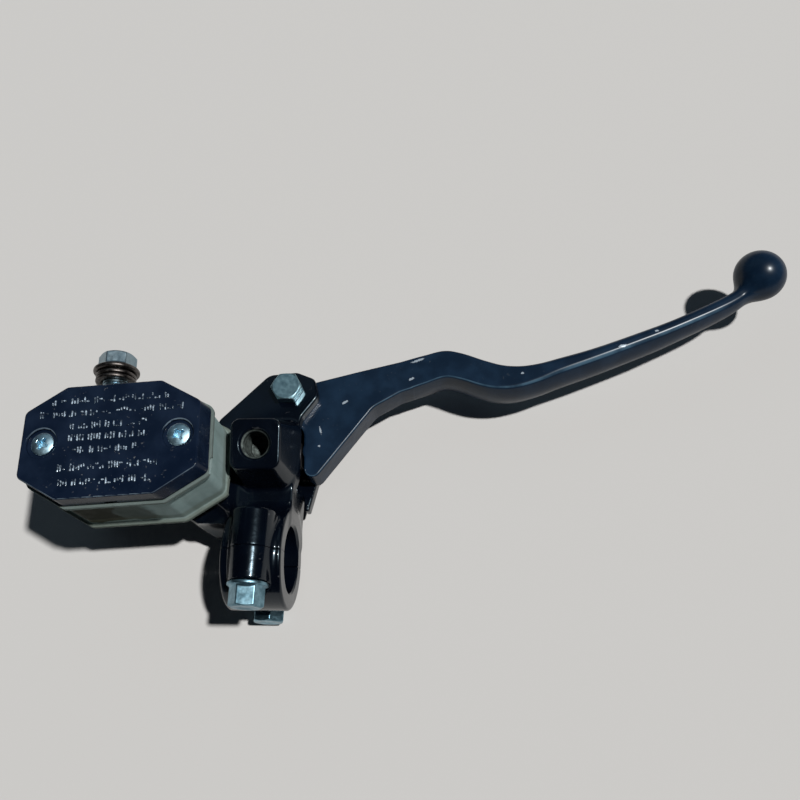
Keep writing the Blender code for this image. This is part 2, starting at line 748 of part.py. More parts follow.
def port():
    place = {**in_barrel(PORT_X), "rotation": ALONG_Y}
    profile = [
        (M10_RADIUS - 0.6 * MM, BANJO_FLANGE_Y - BANJO_SHANK),
        (M10_RADIUS, BANJO_FLANGE_Y - BANJO_SHANK + 0.8 * MM),
        (M10_RADIUS, BANJO_FLANGE_Y),
        (BANJO_FLANGE_RADIUS, BANJO_FLANGE_Y),
        (BANJO_FLANGE_RADIUS, BANJO_FLANGE_Y + BANJO_FLANGE * 0.7),
        (BANJO_FLANGE_RADIUS - 1 * MM, BANJO_FLANGE_Y + BANJO_FLANGE),
    ]
    bolt = turned("banjo_bolt", profile, ZINC, sides=24, **place)
    top = BANJO_FLANGE_Y + BANJO_FLANGE
    head = hexagon(
        "banjo_bolt_head", BANJO_ACROSS_FLATS, top - 1 * MM, top + BANJO_HEX, 1 * MM, **place
    )
    join(bolt, [head])
    drilling = rod(
        "banjo_drilling", BANJO_DRILLING_RADIUS, BANJO_FLANGE_Y - BANJO_SHANK - OVERSHOOT,
        BANJO_FLANGE_Y - 5 * MM, sides=12, **place,
    )
    cross = rod(
        "banjo_cross_drilling", BANJO_CROSS_RADIUS, -WASHER_RADIUS, WASHER_RADIUS, sides=12,
        **in_barrel(PORT_X, BANJO_FLANGE_Y - BANJO_CROSS_FROM_FLANGE), rotation=ALONG_X,
    )
    cut(bolt, [drilling, cross])
    outer_top = BANJO_FLANGE_Y - GAP
    inner_top = outer_top - WASHER_THICKNESS - GAP
    for name, top in (("outer", outer_top), ("inner", inner_top)):
        washer(
            f"banjo_washer_{name}", M10_RADIUS + GAP, WASHER_RADIUS, top - WASHER_THICKNESS, top,
            WASHER_METAL, sides=24, **place,
        )


# ---------------------------------------------------------------- piston group


def piston_group():
    end = NOSE_X - GAP
    place = along_barrel()
    profile = [
        (PISTON_STUB_RADIUS, SPRING_SEAT_X[0] + 1 * MM),
        (PISTON_STUB_RADIUS, PRIMARY_CUP_X[1] + GAP),
        (PISTON_RADIUS, PRIMARY_CUP_X[1] + GAP),
        (PISTON_RADIUS, PRIMARY_CUP_X[1] + 2.6 * MM),
        (PISTON_WAIST_RADIUS, PRIMARY_CUP_X[1] + 3.4 * MM),
        (PISTON_WAIST_RADIUS, SECONDARY_CUP_X[0] - 3.2 * MM),
        (PISTON_RADIUS, SECONDARY_CUP_X[0] - 2.4 * MM),
        (PISTON_RADIUS, SECONDARY_CUP_X[0] - GAP),
        (PISTON_WAIST_RADIUS, SECONDARY_CUP_X[0] - GAP),
        (PISTON_WAIST_RADIUS, SECONDARY_CUP_X[1] + GAP),
        (PISTON_RADIUS, SECONDARY_CUP_X[1] + GAP),
        (PISTON_RADIUS, RECESS_X - 0.4 * MM),
        (PISTON_STEM_RADIUS, RECESS_X - 0.4 * MM),
        (PISTON_STEM_RADIUS, end - 0.8 * MM),
        (PISTON_STEM_RADIUS - 0.8 * MM, end),
    ]
    turned("piston", profile, STEEL, sides=24, **place)
    low, high = PRIMARY_CUP_X
    lip = [
        (PISTON_STUB_RADIUS + GAP, high), (PISTON_STUB_RADIUS + GAP, low + 1 * MM),
        (PISTON_RADIUS - 1.3 * MM, low + 1 * MM), (PISTON_RADIUS - 0.5 * MM, low),
        (PISTON_RADIUS, low), (PISTON_RADIUS, high),
    ]
    turned("primary_cup", lip, RUBBER, sides=24, ring=True, **place)
    washer(
        "secondary_cup", PISTON_WAIST_RADIUS + GAP, PISTON_RADIUS, *SECONDARY_CUP_X, RUBBER,
        sides=24, **place,
    )
    low, high = SPRING_SEAT_X
    seat = [
        (PISTON_STUB_RADIUS + GAP, low), (3.8 * MM, low), (3.8 * MM, high - 1 * MM),
        (5.6 * MM, high - 1 * MM), (5.6 * MM, high), (PISTON_STUB_RADIUS + GAP, high),
    ]
    turned("spring_seat", seat, STEEL, sides=24, ring=True, **place)
    return_spring(BORE_END_X + GAP, high - 1 * MM - GAP)
    washer(
        "stop_washer", PISTON_STEM_RADIUS + GAP, RECESS_RADIUS - GAP, RECESS_X + 0.1 * MM,
        RECESS_X + 0.8 * MM, STEEL, sides=24, **place,
    )
    circlip()
    boot = [
        (PISTON_STEM_RADIUS + GAP, MOUTH_X + 0.4 * MM), (PISTON_STEM_RADIUS + GAP, MOUTH_X - 1.4 * MM),
        (RECESS_RADIUS - 1.6 * MM, MOUTH_X - 3.6 * MM), (RECESS_RADIUS - GAP, MOUTH_X - 3.6 * MM),
        (RECESS_RADIUS - GAP, MOUTH_X + 0.1 * MM), (PISTON_STEM_RADIUS + 1.2 * MM, MOUTH_X + 0.6 * MM),
    ]
    turned("dust_boot", boot, RUBBER, sides=24, ring=True, **place)


def circlip():
    """Open retaining ring in the bore's groove."""
    inner = RECESS_RADIUS - 1.6 * MM
    outer = GROOVE_RADIUS - GAP
    half_opening = radians(22)
    outline = arc((0, 0), outer, half_opening, 2 * pi - half_opening, 30)
    outline += reversed(arc((0, 0), inner, half_opening, 2 * pi - half_opening, 30))
    low, high = GROOVE_X
    prism("circlip", outline, low + 0.2 * MM, high - 0.2 * MM, STEEL, **along_barrel())


def return_spring(low, high):
    curve = bpy.data.curves.new("return_spring", "CURVE")
    curve.dimensions = "3D"
    curve.bevel_depth = SPRING_WIRE_RADIUS
    curve.bevel_resolution = 1
    curve.use_fill_caps = True
    start = low + SPRING_WIRE_RADIUS
    length = high - low - 2 * SPRING_WIRE_RADIUS
    steps = SPRING_TURNS * 12
    spline = curve.splines.new("POLY")
    spline.points.add(steps)
    for step, point in enumerate(spline.points):
        angle = 2 * pi * SPRING_TURNS * step / steps
        x = start + length * step / steps
        point.co = (x, SPRING_RADIUS * cos(angle), SPRING_RADIUS * sin(angle), 1)
    new_object("return_spring", curve, STEEL, **in_barrel(0))


# ---------------------------------------------------------------- lever


def nose_centre():
    """Centre of the lever's round nose, in the lever frame."""
    along = Vector((cos(BARREL_YAW), sin(BARREL_YAW)))
    across = Vector((-sin(BARREL_YAW), cos(BARREL_YAW)))
    return along * (NOSE_X + NOSE_RADIUS) - across * LEVER_ARM


def lever_plate_outline():
    """The flat plate round the pivot, in world millimetres."""
    return rounded(
        [
            (-1.8, 56, 4), (-1.5, 64.2, 5.5), (7, 68, 5), (12.5, 64.8, 4), (30.5, 69.5, 0),
            (45.2, 73.1, 0), (50, 74.4, 0), (50, 62.4, 0), (45.7, 61, 6), (36, 55.2, 8),
            (14.8, 26.2, 3), (12.2, 31.5, 2), (11.2, 46.5, 5),
        ]
    )


# Stations along the blade, in millimetres: front edge x, y, rear edge x, y, top z, bottom z,
# and how far its two sides bulge at mid height.
BLADE = (
    (45.2, 73.1, 45.7, 61.0, 1.5, -9.9, 0.2),
    (54.0, 75.5, 54.2, 64.0, 1.8, -10.1, 0.4),
    (61.5, 77.0, 61.5, 66.3, 2.4, -10.3, 0.6),
    (68.0, 75.6, 67.2, 65.3, 2.8, -10.7, 0.8),
    (76.2, 72.3, 74.6, 62.6, 3.2, -10.9, 1.0),
    (82.5, 70.2, 80.5, 61.3, 3.6, -11.1, 1.2),
    (88.9, 69.5, 87.4, 61.5, 4.0, -11.1, 1.5),
    (95.6, 70.1, 95.4, 63.8, 4.5, -10.8, 2.0),
    (102.8, 71.8, 103.0, 66.9, 4.9, -10.4, 2.3),
    (117.2, 76.0, 117.3, 72.2, 5.0, -9.9, 2.4),
    (136.8, 83.3, 137.0, 79.9, 5.0, -8.8, 2.2),
    (146.6, 87.4, 147.0, 84.1, 5.0, -7.8, 1.9),
    (159.9, 93.7, 160.6, 90.3, 5.0, -6.4, 1.6),
    (167.8, 98.3, 168.9, 94.8, 4.9, -5.2, 1.3),
    (174.5, 103.6, 176.0, 100.3, 4.6, -4.0, 1.0),
)
BLADE_LEVELS = 6


def blade_ring(station):
    """Points round one section of the blade, in the lever frame."""
    front_x, front_y, rear_x, rear_y, top, bottom, bulge = station
    front = Vector((front_x, front_y)) * MM - PIVOT.xy
    rear = Vector((rear_x, rear_y)) * MM - PIVOT.xy
    out = (front - rear).normalized()
    points = []
    for edge, sign, order in ((rear, -1, 1), (front, 1, -1)):
        for level in range(BLADE_LEVELS + 1)[::order]:
            share = level / BLADE_LEVELS
            place = edge + out * sign * bulge * MM * sin(pi * share) ** 0.7
            points.append((*place, (top + (bottom - top) * share) * MM))
    return points


def lever():
    outline = [(x - PIVOT.x, y - PIVOT.y) for x, y in lever_plate_outline()]
    plate = prism(
        "brake_lever", outline, LEVER_BOTTOM, LEVER_TOP, LEVER_PAINT, parent=lever_frame
    )
    shape = bmesh.new()
    rings = [[shape.verts.new(point) for point in blade_ring(station)] for station in BLADE]
    skin(shape, rings)
    blade = new_object("lever_blade", finish_mesh("lever_blade", shape), None, parent=lever_frame)
    shape = bmesh.new()
    bmesh.ops.create_uvsphere(shape, u_segments=24, v_segments=14, radius=BALL_RADIUS)
    ball = new_object(
        "lever_ball", finish_mesh("lever_ball", shape), None,
        parent=lever_frame, location=BALL_CENTRE - PIVOT,
    )
    nose = rod(
        "lever_nose", NOSE_RADIUS, LEVER_BOTTOM, LEVER_TOP, sides=SIDES,
        parent=lever_frame, location=(*nose_centre(), 0),
    )
    join(plate, [nose, blade, ball])
    bush_outer = PIVOT_SHOULDER_RADIUS + GAP + BUSH_WALL
    cut(
        plate,
        [rod("lever_hole", bush_outer + GAP, -DEEP, DEEP, sides=24, parent=lever_frame)],
    )
    washer(
        "pivot_bush", PIVOT_SHOULDER_RADIUS + GAP, bush_outer, LEVER_BOTTOM + 0.1 * MM,
        LEVER_TOP - 0.1 * MM, BRONZE, sides=24, parent=lever_frame,
    )


def pivot_bolt():
    seat = UPPER_EAR_TOP + GAP
    shoulder = LEVER_BOTTOM - 0.1 * MM
    nut_top = LOWER_EAR_BOTTOM - GAP
    profile = [
        (M6_RADIUS - 0.5 * MM, nut_top - PIVOT_NUT - 1 * MM),
        (M6_RADIUS, nut_top - PIVOT_NUT - 0.5 * MM),
        (M6_RADIUS, shoulder),
        (PIVOT_SHOULDER_RADIUS, shoulder),
        (PIVOT_SHOULDER_RADIUS, seat + 1 * MM),
    ]
    bolt = turned("pivot_bolt", profile, ZINC, location=PIVOT)
    head = hexagon(
        "pivot_bolt_head", M6_ACROSS_FLATS, seat, seat + PIVOT_HEAD, M6_CHAMFER, location=PIVOT
    )
    join(bolt, [head])
    nut = hexagon(
        "pivot_nut", M6_ACROSS_FLATS, 0, PIVOT_NUT, M6_CHAMFER, paint=ZINC,
        location=(PIVOT.x, PIVOT.y, nut_top), rotation=(pi, 0, 0),
    )
    cut(nut, [rod("pivot_nut_hole", M6_RADIUS + GAP, -30 * MM, 0, location=PIVOT)])


body()
clamp()
reservoir()
cap()
diaphragm()
port()
piston_group()
lever()
pivot_bolt()
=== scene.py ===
"""Looks of the motorcycle brake master cylinder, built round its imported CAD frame.

Lengths are in millimetres until a mesh is made. The frame's origin is the centre of the handlebar
clamp's bore: +X runs along the bar towards the lever's ball, +Y forward and +Z up.
"""

from math import atan2, cos, pi, radians, sin, tan

import bmesh
import bpy
import numpy as np
from mathutils import Matrix, Vector
from numpy import clip, hypot, maximum, minimum


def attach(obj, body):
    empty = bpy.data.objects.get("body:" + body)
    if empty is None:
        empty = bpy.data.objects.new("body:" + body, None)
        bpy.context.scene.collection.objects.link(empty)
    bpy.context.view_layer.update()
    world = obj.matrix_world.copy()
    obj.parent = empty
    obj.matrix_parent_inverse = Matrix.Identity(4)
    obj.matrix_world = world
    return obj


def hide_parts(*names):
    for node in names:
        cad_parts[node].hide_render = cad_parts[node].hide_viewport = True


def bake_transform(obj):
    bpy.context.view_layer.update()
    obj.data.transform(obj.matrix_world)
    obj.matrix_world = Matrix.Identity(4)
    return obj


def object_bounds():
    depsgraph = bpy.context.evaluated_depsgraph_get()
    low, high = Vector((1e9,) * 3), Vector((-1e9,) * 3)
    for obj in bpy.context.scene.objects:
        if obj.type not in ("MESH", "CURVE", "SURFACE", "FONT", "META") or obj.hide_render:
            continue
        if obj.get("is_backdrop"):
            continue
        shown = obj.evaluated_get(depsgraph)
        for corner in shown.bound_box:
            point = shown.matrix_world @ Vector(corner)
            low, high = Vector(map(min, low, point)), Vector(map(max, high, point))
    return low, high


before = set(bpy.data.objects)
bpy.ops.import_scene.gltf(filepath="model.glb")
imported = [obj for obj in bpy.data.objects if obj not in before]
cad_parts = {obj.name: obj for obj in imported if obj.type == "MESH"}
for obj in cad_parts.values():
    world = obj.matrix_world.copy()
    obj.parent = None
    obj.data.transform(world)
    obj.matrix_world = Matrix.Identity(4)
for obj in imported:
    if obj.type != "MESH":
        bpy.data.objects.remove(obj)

cad_box = [list(corner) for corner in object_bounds()]

MM = 0.001
SCENE = bpy.context.scene


def new_object(name, data):
    made = bpy.data.objects.new(name, data)
    SCENE.collection.objects.link(made)
    return made


# ---- camera

CAMERA_AT = (0.0709018, -0.0595063, 0.2728402)
CAMERA_TILT = (-0.408417, -0.0829391, -0.0239742)
CAMERA_LENS = 37.056

tilt_x, tilt_y, tilt_z = CAMERA_TILT
look = (
    Matrix.Rotation(tilt_x, 3, "X") @ Matrix.Rotation(tilt_y, 3, "Y") @ Matrix.Rotation(tilt_z, 3, "Z")
).transposed()
camera = new_object("camera", bpy.data.cameras.new("camera"))
camera.matrix_world = Matrix.Translation(CAMERA_AT) @ look.to_4x4()
camera.data.lens = CAMERA_LENS
camera.data.sensor_width = 36
camera.data.clip_start = 0.005
SCENE.camera = camera

# ---- dimensions

BAR_RADIUS = 11.1
CLAMP_RADIUS = 16.8
CLAMP_HALF_WIDTH = 10
CLAMP_BOLT_Z = 15.5
PIVOT = (5.3, 60.2)
LEVER_TOP = 1.5
LEVER_BOTTOM = -9.6
BARREL_YAW = radians(3.9)
BARREL_Z = -4
LEVER_ARM = 22
BARREL_AT = (PIVOT[0] + LEVER_ARM * sin(BARREL_YAW), PIVOT[1] - LEVER_ARM * cos(BARREL_YAW))
TANK_CENTRE = (-49.2, -5.9)
TANK_BOTTOM = 9.9
TANK_TOP = 32.7
CAP_BOTTOM = 33
CAP_TOP = 40.6
CAP_HALF = (28.5, 18.9)
CAP_EDGE_HALF = (15.5, 10.9)
CAP_CORNER = 2.5
CAP_SCREW_X = 21.9
PORT_X = -69
MIRROR_TOP = (-0.5, 33.8, 22)
MIRROR_TILT = radians(13)
BALL = (177.7, 106, 2)
BALL_RADIUS = 9.2
NOSE_X = 4.4
NOSE_RADIUS = 4.5
BOLT_HOLE = 3.3
PIVOT_HOLE = 4.3
BORE_RADIUS = 6.35
TANK_SCREW_X = 12
TANK_SCREW_HOLE = 2.5
BOLT_SIDES = (CLAMP_BOLT_Z, -CLAMP_BOLT_Z)
SCREW_SIDES = (-CAP_SCREW_X, CAP_SCREW_X)


def to_barrel(x, y):
    """World x, y as the barrel frame's u and v."""
    dx, dy = x - BARREL_AT[0], y - BARREL_AT[1]
    c, s = cos(BARREL_YAW), sin(BARREL_YAW)
    return dx * c + dy * s, dy * c - dx * s


def from_barrel(u, v):
    c, s = cos(BARREL_YAW), sin(BARREL_YAW)
    return BARREL_AT[0] + u * c - v * s, BARREL_AT[1] + u * s + v * c


# ---- distance fields
# A field takes arrays x, y, z in millimetres and returns how far each point is outside the shape.


def arc(centre, radius, start, end, steps):
    turns = [start + (end - start) * i / steps for i in range(steps + 1)]
    return [(centre[0] + radius * cos(a), centre[1] + radius * sin(a)) for a in turns]


def rounded(corners):
    """Outline from (x, y, corner radius)."""
    points = []
    for index, (x, y, radius) in enumerate(corners):
        here = Vector((x, y))
        if not radius:
            points.append((x, y))
            continue
        before = Vector(corners[index - 1][:2])
        after = Vector(corners[(index + 1) % len(corners)][:2])
        back = (before - here).normalized()
        onward = (after - here).normalized()
        half = back.angle(onward) / 2
        reach = radius / tan(half)
        middle = here + (back + onward).normalized() * (radius / sin(half))
        first = here + back * reach - middle
        turn = -(pi - 2 * half) if back.cross(onward) > 0 else pi - 2 * half
        start = atan2(first.y, first.x)
        points += arc(middle, radius, start, start + turn, max(3, round(abs(turn) / radians(9))))
    return points


def octagon(half, edge_half, radius):
    hx, hy = half
    ex, ey = edge_half
    corners = [(hx, -ey), (hx, ey), (ex, hy), (-ex, hy), (-hx, ey), (-hx, -ey), (-ex, -hy), (ex, -hy)]
    return rounded([(x, y, radius) for x, y in corners])


def inset_octagon(amount):
    half = [side - amount for side in CAP_HALF]
    edge = [side - amount * tan(radians(15)) for side in CAP_EDGE_HALF]
    return octagon(half, edge, CAP_CORNER)


def outline_distance(points, x, y):
    """Signed distance from a closed outline."""
    best = np.full(x.shape, 1e9)
    inside = np.zeros(x.shape, bool)
    for (ax, ay), (bx, by) in zip(points, points[1:] + points[:1]):
        ex, ey = bx - ax, by - ay
        length = ex * ex + ey * ey
        if length < 1e-12:
            continue
        wx, wy = x - ax, y - ay
        share = clip((wx * ex + wy * ey) / length, 0, 1)
        best = minimum(best, (wx - ex * share) ** 2 + (wy - ey * share) ** 2)
        crosses = (ay <= y) != (by <= y)
        if ey:
            inside ^= crosses & (x < ax + (y - ay) * ex / ey)
    return np.where(inside, -1, 1) * np.sqrt(best)


class Plan:
    """Signed distance from flat outlines, tabled once on a fine grid."""

    def __init__(self, *outlines, step=0.2, margin=8):
        every = np.array([point for outline in outlines for point in outline])
        self.low = every.min(0) - margin
        self.step = step
        count = np.ceil((every.max(0) + margin - self.low) / step).astype(int) + 1
        axes = [self.low[i] + step * np.arange(count[i]) for i in (0, 1)]
        gx, gy = np.meshgrid(*axes, indexing="ij")
        tables = [outline_distance(list(outline), gx, gy) for outline in outlines]
        self.table = minimum.reduce(tables).astype(np.float32)

    def __call__(self, x, y):
        fx = (x - self.low[0]) / self.step
        fy = (y - self.low[1]) / self.step
        top_x, top_y = self.table.shape[0] - 1.001, self.table.shape[1] - 1.001
        cx, cy = clip(fx, 0, top_x), clip(fy, 0, top_y)
        beyond = hypot(fx - cx, fy - cy) * self.step
        ix, iy = cx.astype(np.int32), cy.astype(np.int32)
        sx, sy = cx - ix, cy - iy
        t = self.table
        near = t[ix, iy] * (1 - sy) + t[ix, iy + 1] * sy
        far = t[ix + 1, iy] * (1 - sy) + t[ix + 1, iy + 1] * sy
        return near * (1 - sx) + far * sx + beyond


def both(a, b, edge):
    """What is inside a and inside b, with the edge between them rounded."""
    a, b = a + edge, b + edge
    return minimum(maximum(a, b), 0) + hypot(maximum(a, 0), maximum(b, 0)) - edge


def slab(across, along, low, high, edge):
    """What is inside across, between low and high, with its rims rounded."""
    return both(across, abs(along - (low + high) / 2) - (high - low) / 2, edge)


def cut(shape, hole, limit=None):
    """The shape less the hole, or less the part of the hole that is inside the limit."""
    return maximum(shape, -(hole if limit is None else maximum(hole, limit)))


def blend_min(a, b, reach):
    h = maximum(reach - abs(a - b), 0) / reach
    return minimum(a, b) - h * h * reach * 0.25


def blend_max(a, b, reach):
    return -blend_min(-a, -b, reach)


def step_up(value, low, high):
    t = clip((value - low) / (high - low), 0, 1)
    return t * t * (3 - 2 * t)


# ---- meshing


def sample(field, low, size, step):
    """The field on a grid. Blocks far from the surface get one value for the whole block."""
    block = 8
    blocks = [-(-n // block) for n in size]
    centres = [low[i] + (np.arange(blocks[i]) + 0.5) * block * step - step / 2 for i in range(3)]
    grid = np.meshgrid(*centres, indexing="ij")
    rough = field(*(g.ravel() for g in grid)).reshape(blocks)
    values = np.repeat(np.repeat(np.repeat(rough, block, 0), block, 1), block, 2).astype(np.float32)
    near = np.argwhere(abs(rough) < block * step * 0.87 * 1.35 + step)
    offset = np.stack(np.meshgrid(*[np.arange(block)] * 3, indexing="ij"), -1).reshape(-1, 3)
    for part in np.array_split(near, max(1, len(near) // 1500)):
        index = (part[:, None, :] * block + offset[None]).reshape(-1, 3)
        at = [low[i] + index[:, i] * step for i in range(3)]
        values[index[:, 0], index[:, 1], index[:, 2]] = field(*at)
    return values


def slope_at(field, point, h):
    """The field's unit gradient at each point, from its values h to either side."""
    slope = np.empty_like(point)
    for i in range(3):
        more, less = point.copy(), point.copy()
        more[:, i] += h
        less[:, i] -= h
        slope[:, i] = field(*more.T) - field(*less.T)
    return slope / (np.linalg.norm(slope, axis=1, keepdims=True) + 1e-12)


def contour(field, low, high, step, softness):
    """Dual contouring: the field's surface as quads, with its sharp edges kept."""
    low = np.array(low, float)
    size = np.ceil((np.array(high, float) - low) / step).astype(int) + 1
    values = sample(field, low, size, step)
    size = values.shape
    inside = values < 0
    strides = np.array([size[1] * size[2], size[2], 1])
    cells, places, normals, quads = [], [], [], []
    for axis in range(3):
        cut = [slice(1, -1)] * 3
        cut[axis] = slice(0, -1)
        shifted = list(cut)
        shifted[axis] = slice(1, None)
        here, there = inside[tuple(cut)], inside[tuple(shifted)]
        found = np.argwhere(here != there)
        found += [0 if i == axis else 1 for i in range(3)]
        v0 = values[tuple(found.T)].astype(float)
        after = found.copy()
        after[:, axis] += 1
        v1 = values[tuple(after.T)].astype(float)
        point = low + found * step
        point[:, axis] += step * clip(v0 / (v0 - v1), 0.001, 0.999)
        slope = slope_at(field, point, step * 0.1)
        b, c = [i for i in range(3) if i != axis]
        ring = []
        for db, dc in ((0, 0), (-1, 0), (-1, -1), (0, -1)):
            cell = found.copy()
            cell[:, b] += db
            cell[:, c] += dc
            ring.append(cell @ strides)
            cells.append(ring[-1])
            places.append(point)
            normals.append(slope)
        ring = np.stack(ring, 1)
        flip = (v0 < 0) == (axis == 1)
        ring[flip] = ring[flip][:, ::-1]
        quads.append(ring)
    cells = np.concatenate(cells)
    places = np.concatenate(places)
    normals = np.concatenate(normals)
    quads = np.concatenate(quads)
    names, owner = np.unique(cells, return_inverse=True)
    count = np.bincount(owner).astype(float)
    centre = np.stack([np.bincount(owner, places[:, i]) for i in range(3)], 1) / count[:, None]
    push = np.einsum("ij,ij->i", normals, places - centre[owner])
    square = np.empty((len(names), 3, 3))
    right = np.empty((len(names), 3))
    for i in range(3):
        right[:, i] = np.bincount(owner, normals[:, i] * push)
        for j in range(3):
            square[:, i, j] = np.bincount(owner, normals[:, i] * normals[:, j])
    square += np.eye(3) * softness
    vertex = centre + np.linalg.solve(square, right[..., None])[..., 0]
    corner = low + np.stack(np.unravel_index(names, size), 1) * step
    vertex = clip(vertex, corner - 0.05 * step, corner + 1.05 * step)
    return vertex, np.searchsorted(names, quads)


def mesh_from(name, vertex, quads):
    mesh = bpy.data.meshes.new(name)
    mesh.vertices.add(len(vertex))
    mesh.vertices.foreach_set("co", (vertex * MM).astype(np.float32).ravel())
    mesh.loops.add(quads.size)
    mesh.loops.foreach_set("vertex_index", quads.astype(np.int32).ravel())
    mesh.polygons.add(len(quads))
    mesh.polygons.foreach_set("loop_start", np.arange(0, quads.size, 4, dtype=np.int32))
    mesh.update(calc_edges=True)
    mesh.validate()
    return mesh


def smooth(mesh, angle):
    mesh.shade_smooth()
    mesh.set_sharp_from_angle(angle=radians(angle))


def edge_wear(mesh, field, vertex, depth=0.8):
    """How much each vertex sticks out: 0 on a flat, up to about 0.3 on an edge."""
    value = field(*(vertex - slope_at(field, vertex, 0.05) * depth).T) / depth + 1
    attribute = mesh.attributes.new("edge", "FLOAT", "POINT")
    attribute.data.foreach_set("value", clip(value, -1, 1).astype(np.float32))


def add(name, mesh, material, body, slot, *nodes):
    made = new_object(name, mesh)
    mesh.materials.append(material)
    if body:
        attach(made, body)
    if nodes:
        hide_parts(*nodes)
    return made


def place_at(origin, along, across=(1, 0, 0)):
    """A turn and an origin in millimetres, with local Z along the given direction."""
    z = Vector(along).normalized()
    x = Vector(across)
    x = (x - z * x.dot(z)).normalized()
    y = z.cross(x)
    return Matrix((x, y, z)).transposed().to_4x4(), Vector(origin)


def put(vertex, place):
    turn, origin = place
    return vertex @ np.array(turn.to_3x3()).T + np.array(origin)


SOFTNESS, SMOOTH_ANGLE = 0.06, 30
SMALL_SOFTNESS, SMALL_SMOOTH_ANGLE = 0.03, 28


def carve(name, field, box, step, material, slot, *nodes, body="body", place=None, wear=False):
    """Add a field's surface as a piece. One with a place is small and has its own frame."""
    vertex, quads = contour(field, *box, step, SMALL_SOFTNESS if place else SOFTNESS)
    mesh = mesh_from(name, put(vertex, place) if place else vertex, quads)
    smooth(mesh, SMALL_SMOOTH_ANGLE if place else SMOOTH_ANGLE)
    if wear:
        edge_wear(mesh, field, vertex)
    return add(name, mesh, material, body, slot, *nodes)


def vertex_at(shape, place, point):
    x, y, z = put(np.array(point), place)
    return shape.verts.new((x * MM, y * MM, z * MM))


def bridge(shape, rings, closed=False):
    """Faces between rings of vertices, with the ends capped unless the last meets the first."""
    for one, two in zip(rings, rings[1:] + rings[:1] * closed):
        for i in range(len(one)):
            j = (i + 1) % len(one)
            shape.faces.new((one[i], one[j], two[j], two[i]))
    if not closed:
        shape.faces.new(rings[0])
        shape.faces.new(rings[-1])


def mesh_of(name, shape, angle):
    """A mesh from a bmesh, with its faces turned outwards."""
    bmesh.ops.recalc_face_normals(shape, faces=shape.faces)
    mesh = bpy.data.meshes.new(name)
    shape.to_mesh(mesh)
    shape.free()
    smooth(mesh, angle)
    return mesh


# ---- materials


class Nodes:
    """Short forms for a material's nodes."""

    def __init__(self, name, **values):
        self.material = bpy.data.materials.new(name)
        self.material.use_nodes = True
        self.tree = self.material.node_tree
        self.shader = self.tree.nodes["Principled BSDF"]
        coordinate = self.tree.nodes.new("ShaderNodeTexCoord")
        self.place = coordinate.outputs["Object"]
        self.facing = coordinate.outputs["Normal"]
        for key, value in values.items():
            self.shader.inputs[key.replace("_", " ").title()].default_value = value

    def link(self, source, socket):
        self.tree.links.new(source, self.shader.inputs[socket])

    def finish(self, colour, roughness, normal):
        self.link(colour, "Base Color")
        self.link(roughness, "Roughness")
        self.link(normal, "Normal")
        return self.material

    def node(self, kind, inputs, **settings):
        made = self.tree.nodes.new("ShaderNode" + kind)
        for key, value in settings.items():
            setattr(made, key, value)
        for key, value in inputs.items():
            if isinstance(value, bpy.types.NodeSocket):
                self.tree.links.new(value, made.inputs[key])
            else:
                made.inputs[key].default_value = value
        return made

    def stretched(self, scale):
        return self.node("Mapping", {"Vector": self.place, "Scale": scale}).outputs["Vector"]

    def noise(self, scale, detail=3, roughness=0.5, place=None, distortion=0):
        inputs = {
            "Vector": place or self.place, "Scale": scale, "Detail": detail,
            "Roughness": roughness, "Distortion": distortion,
        }
        return self.node("TexNoise", inputs).outputs["Fac"]

    def remap(self, value, low, high, to_low=0.0, to_high=1.0, kind="SMOOTHSTEP"):
        inputs = {
            "Value": value, "From Min": low, "From Max": high, "To Min": to_low, "To Max": to_high,
        }
        return self.node("MapRange", inputs, interpolation_type=kind).outputs["Result"]

    def vary(self, low, high, scale, detail=3, roughness=0.5):
        """Noise spread evenly from low to high."""
        return self.remap(self.noise(scale, detail, roughness), 0.3, 0.7, low, high, "LINEAR")

    def math(self, operation, a, b):
        return self.node("Math", {0: a, 1: b}, operation=operation).outputs[0]

    def times(self, a, b):
        return self.math("MULTIPLY", a, b)

    def mix(self, share, a, b):
        inputs = {"Factor": share, 6: self.colour(a), 7: self.colour(b)}
        return self.node("Mix", inputs, data_type="RGBA").outputs[2]

    def colour(self, value):
        return (*value, 1) if isinstance(value, tuple) and len(value) == 3 else value

    def axis(self, name):
        return self.node("SeparateXYZ", {0: self.place}).outputs[name]

    def normal(self, name):
        return self.node("SeparateXYZ", {0: self.facing}).outputs[name]

    def edge(self):
        return self.node("Attribute", {}, attribute_name="edge").outputs["Fac"]

    def bump(self, height, distance, strength=1.0, normal=None):
        inputs = {"Height": height, "Distance": distance, "Strength": strength}
        if normal:
            inputs["Normal"] = normal
        return self.node("Bump", inputs).outputs["Normal"]


def spots(m, scale, low, high, seed=0.0):
    """Scattered specks: 1 on a speck, 0 off it."""
    shift = (seed, seed * 0.7, seed * 1.3)
    place = m.node("Mapping", {"Vector": m.place, "Location": shift}).outputs[0]
    return m.remap(m.noise(scale, 2, 0.6, place), low, high)


def chips_and_glints_mask(m, chips_and_glints):
    """1 inside any of the listed spots, lost paint and painted glints alike, on the piece's upper side.
    """
    found = None
    ragged = m.vary(-0.35, 0.35, 1600, 2)
    for x, y, length, width, angle in chips_and_glints:
        inputs = {
            "Vector": m.place, "Location": (x * MM, y * MM, 0), "Rotation": (0, 0, radians(angle)),
            "Scale": (length * MM / 2, width * MM / 2, 1),
        }
        local = m.node("Mapping", inputs, vector_type="TEXTURE").outputs[0]
        away = m.node("VectorMath", {0: local}, operation="LENGTH").outputs["Value"]
        patch = m.remap(m.math("ADD", away, ragged), 1.1, 0.8)
        found = m.math("MAXIMUM", found, patch) if found else patch
    return m.times(found, m.remap(m.axis("Z"), 0.0002, 0.0006))


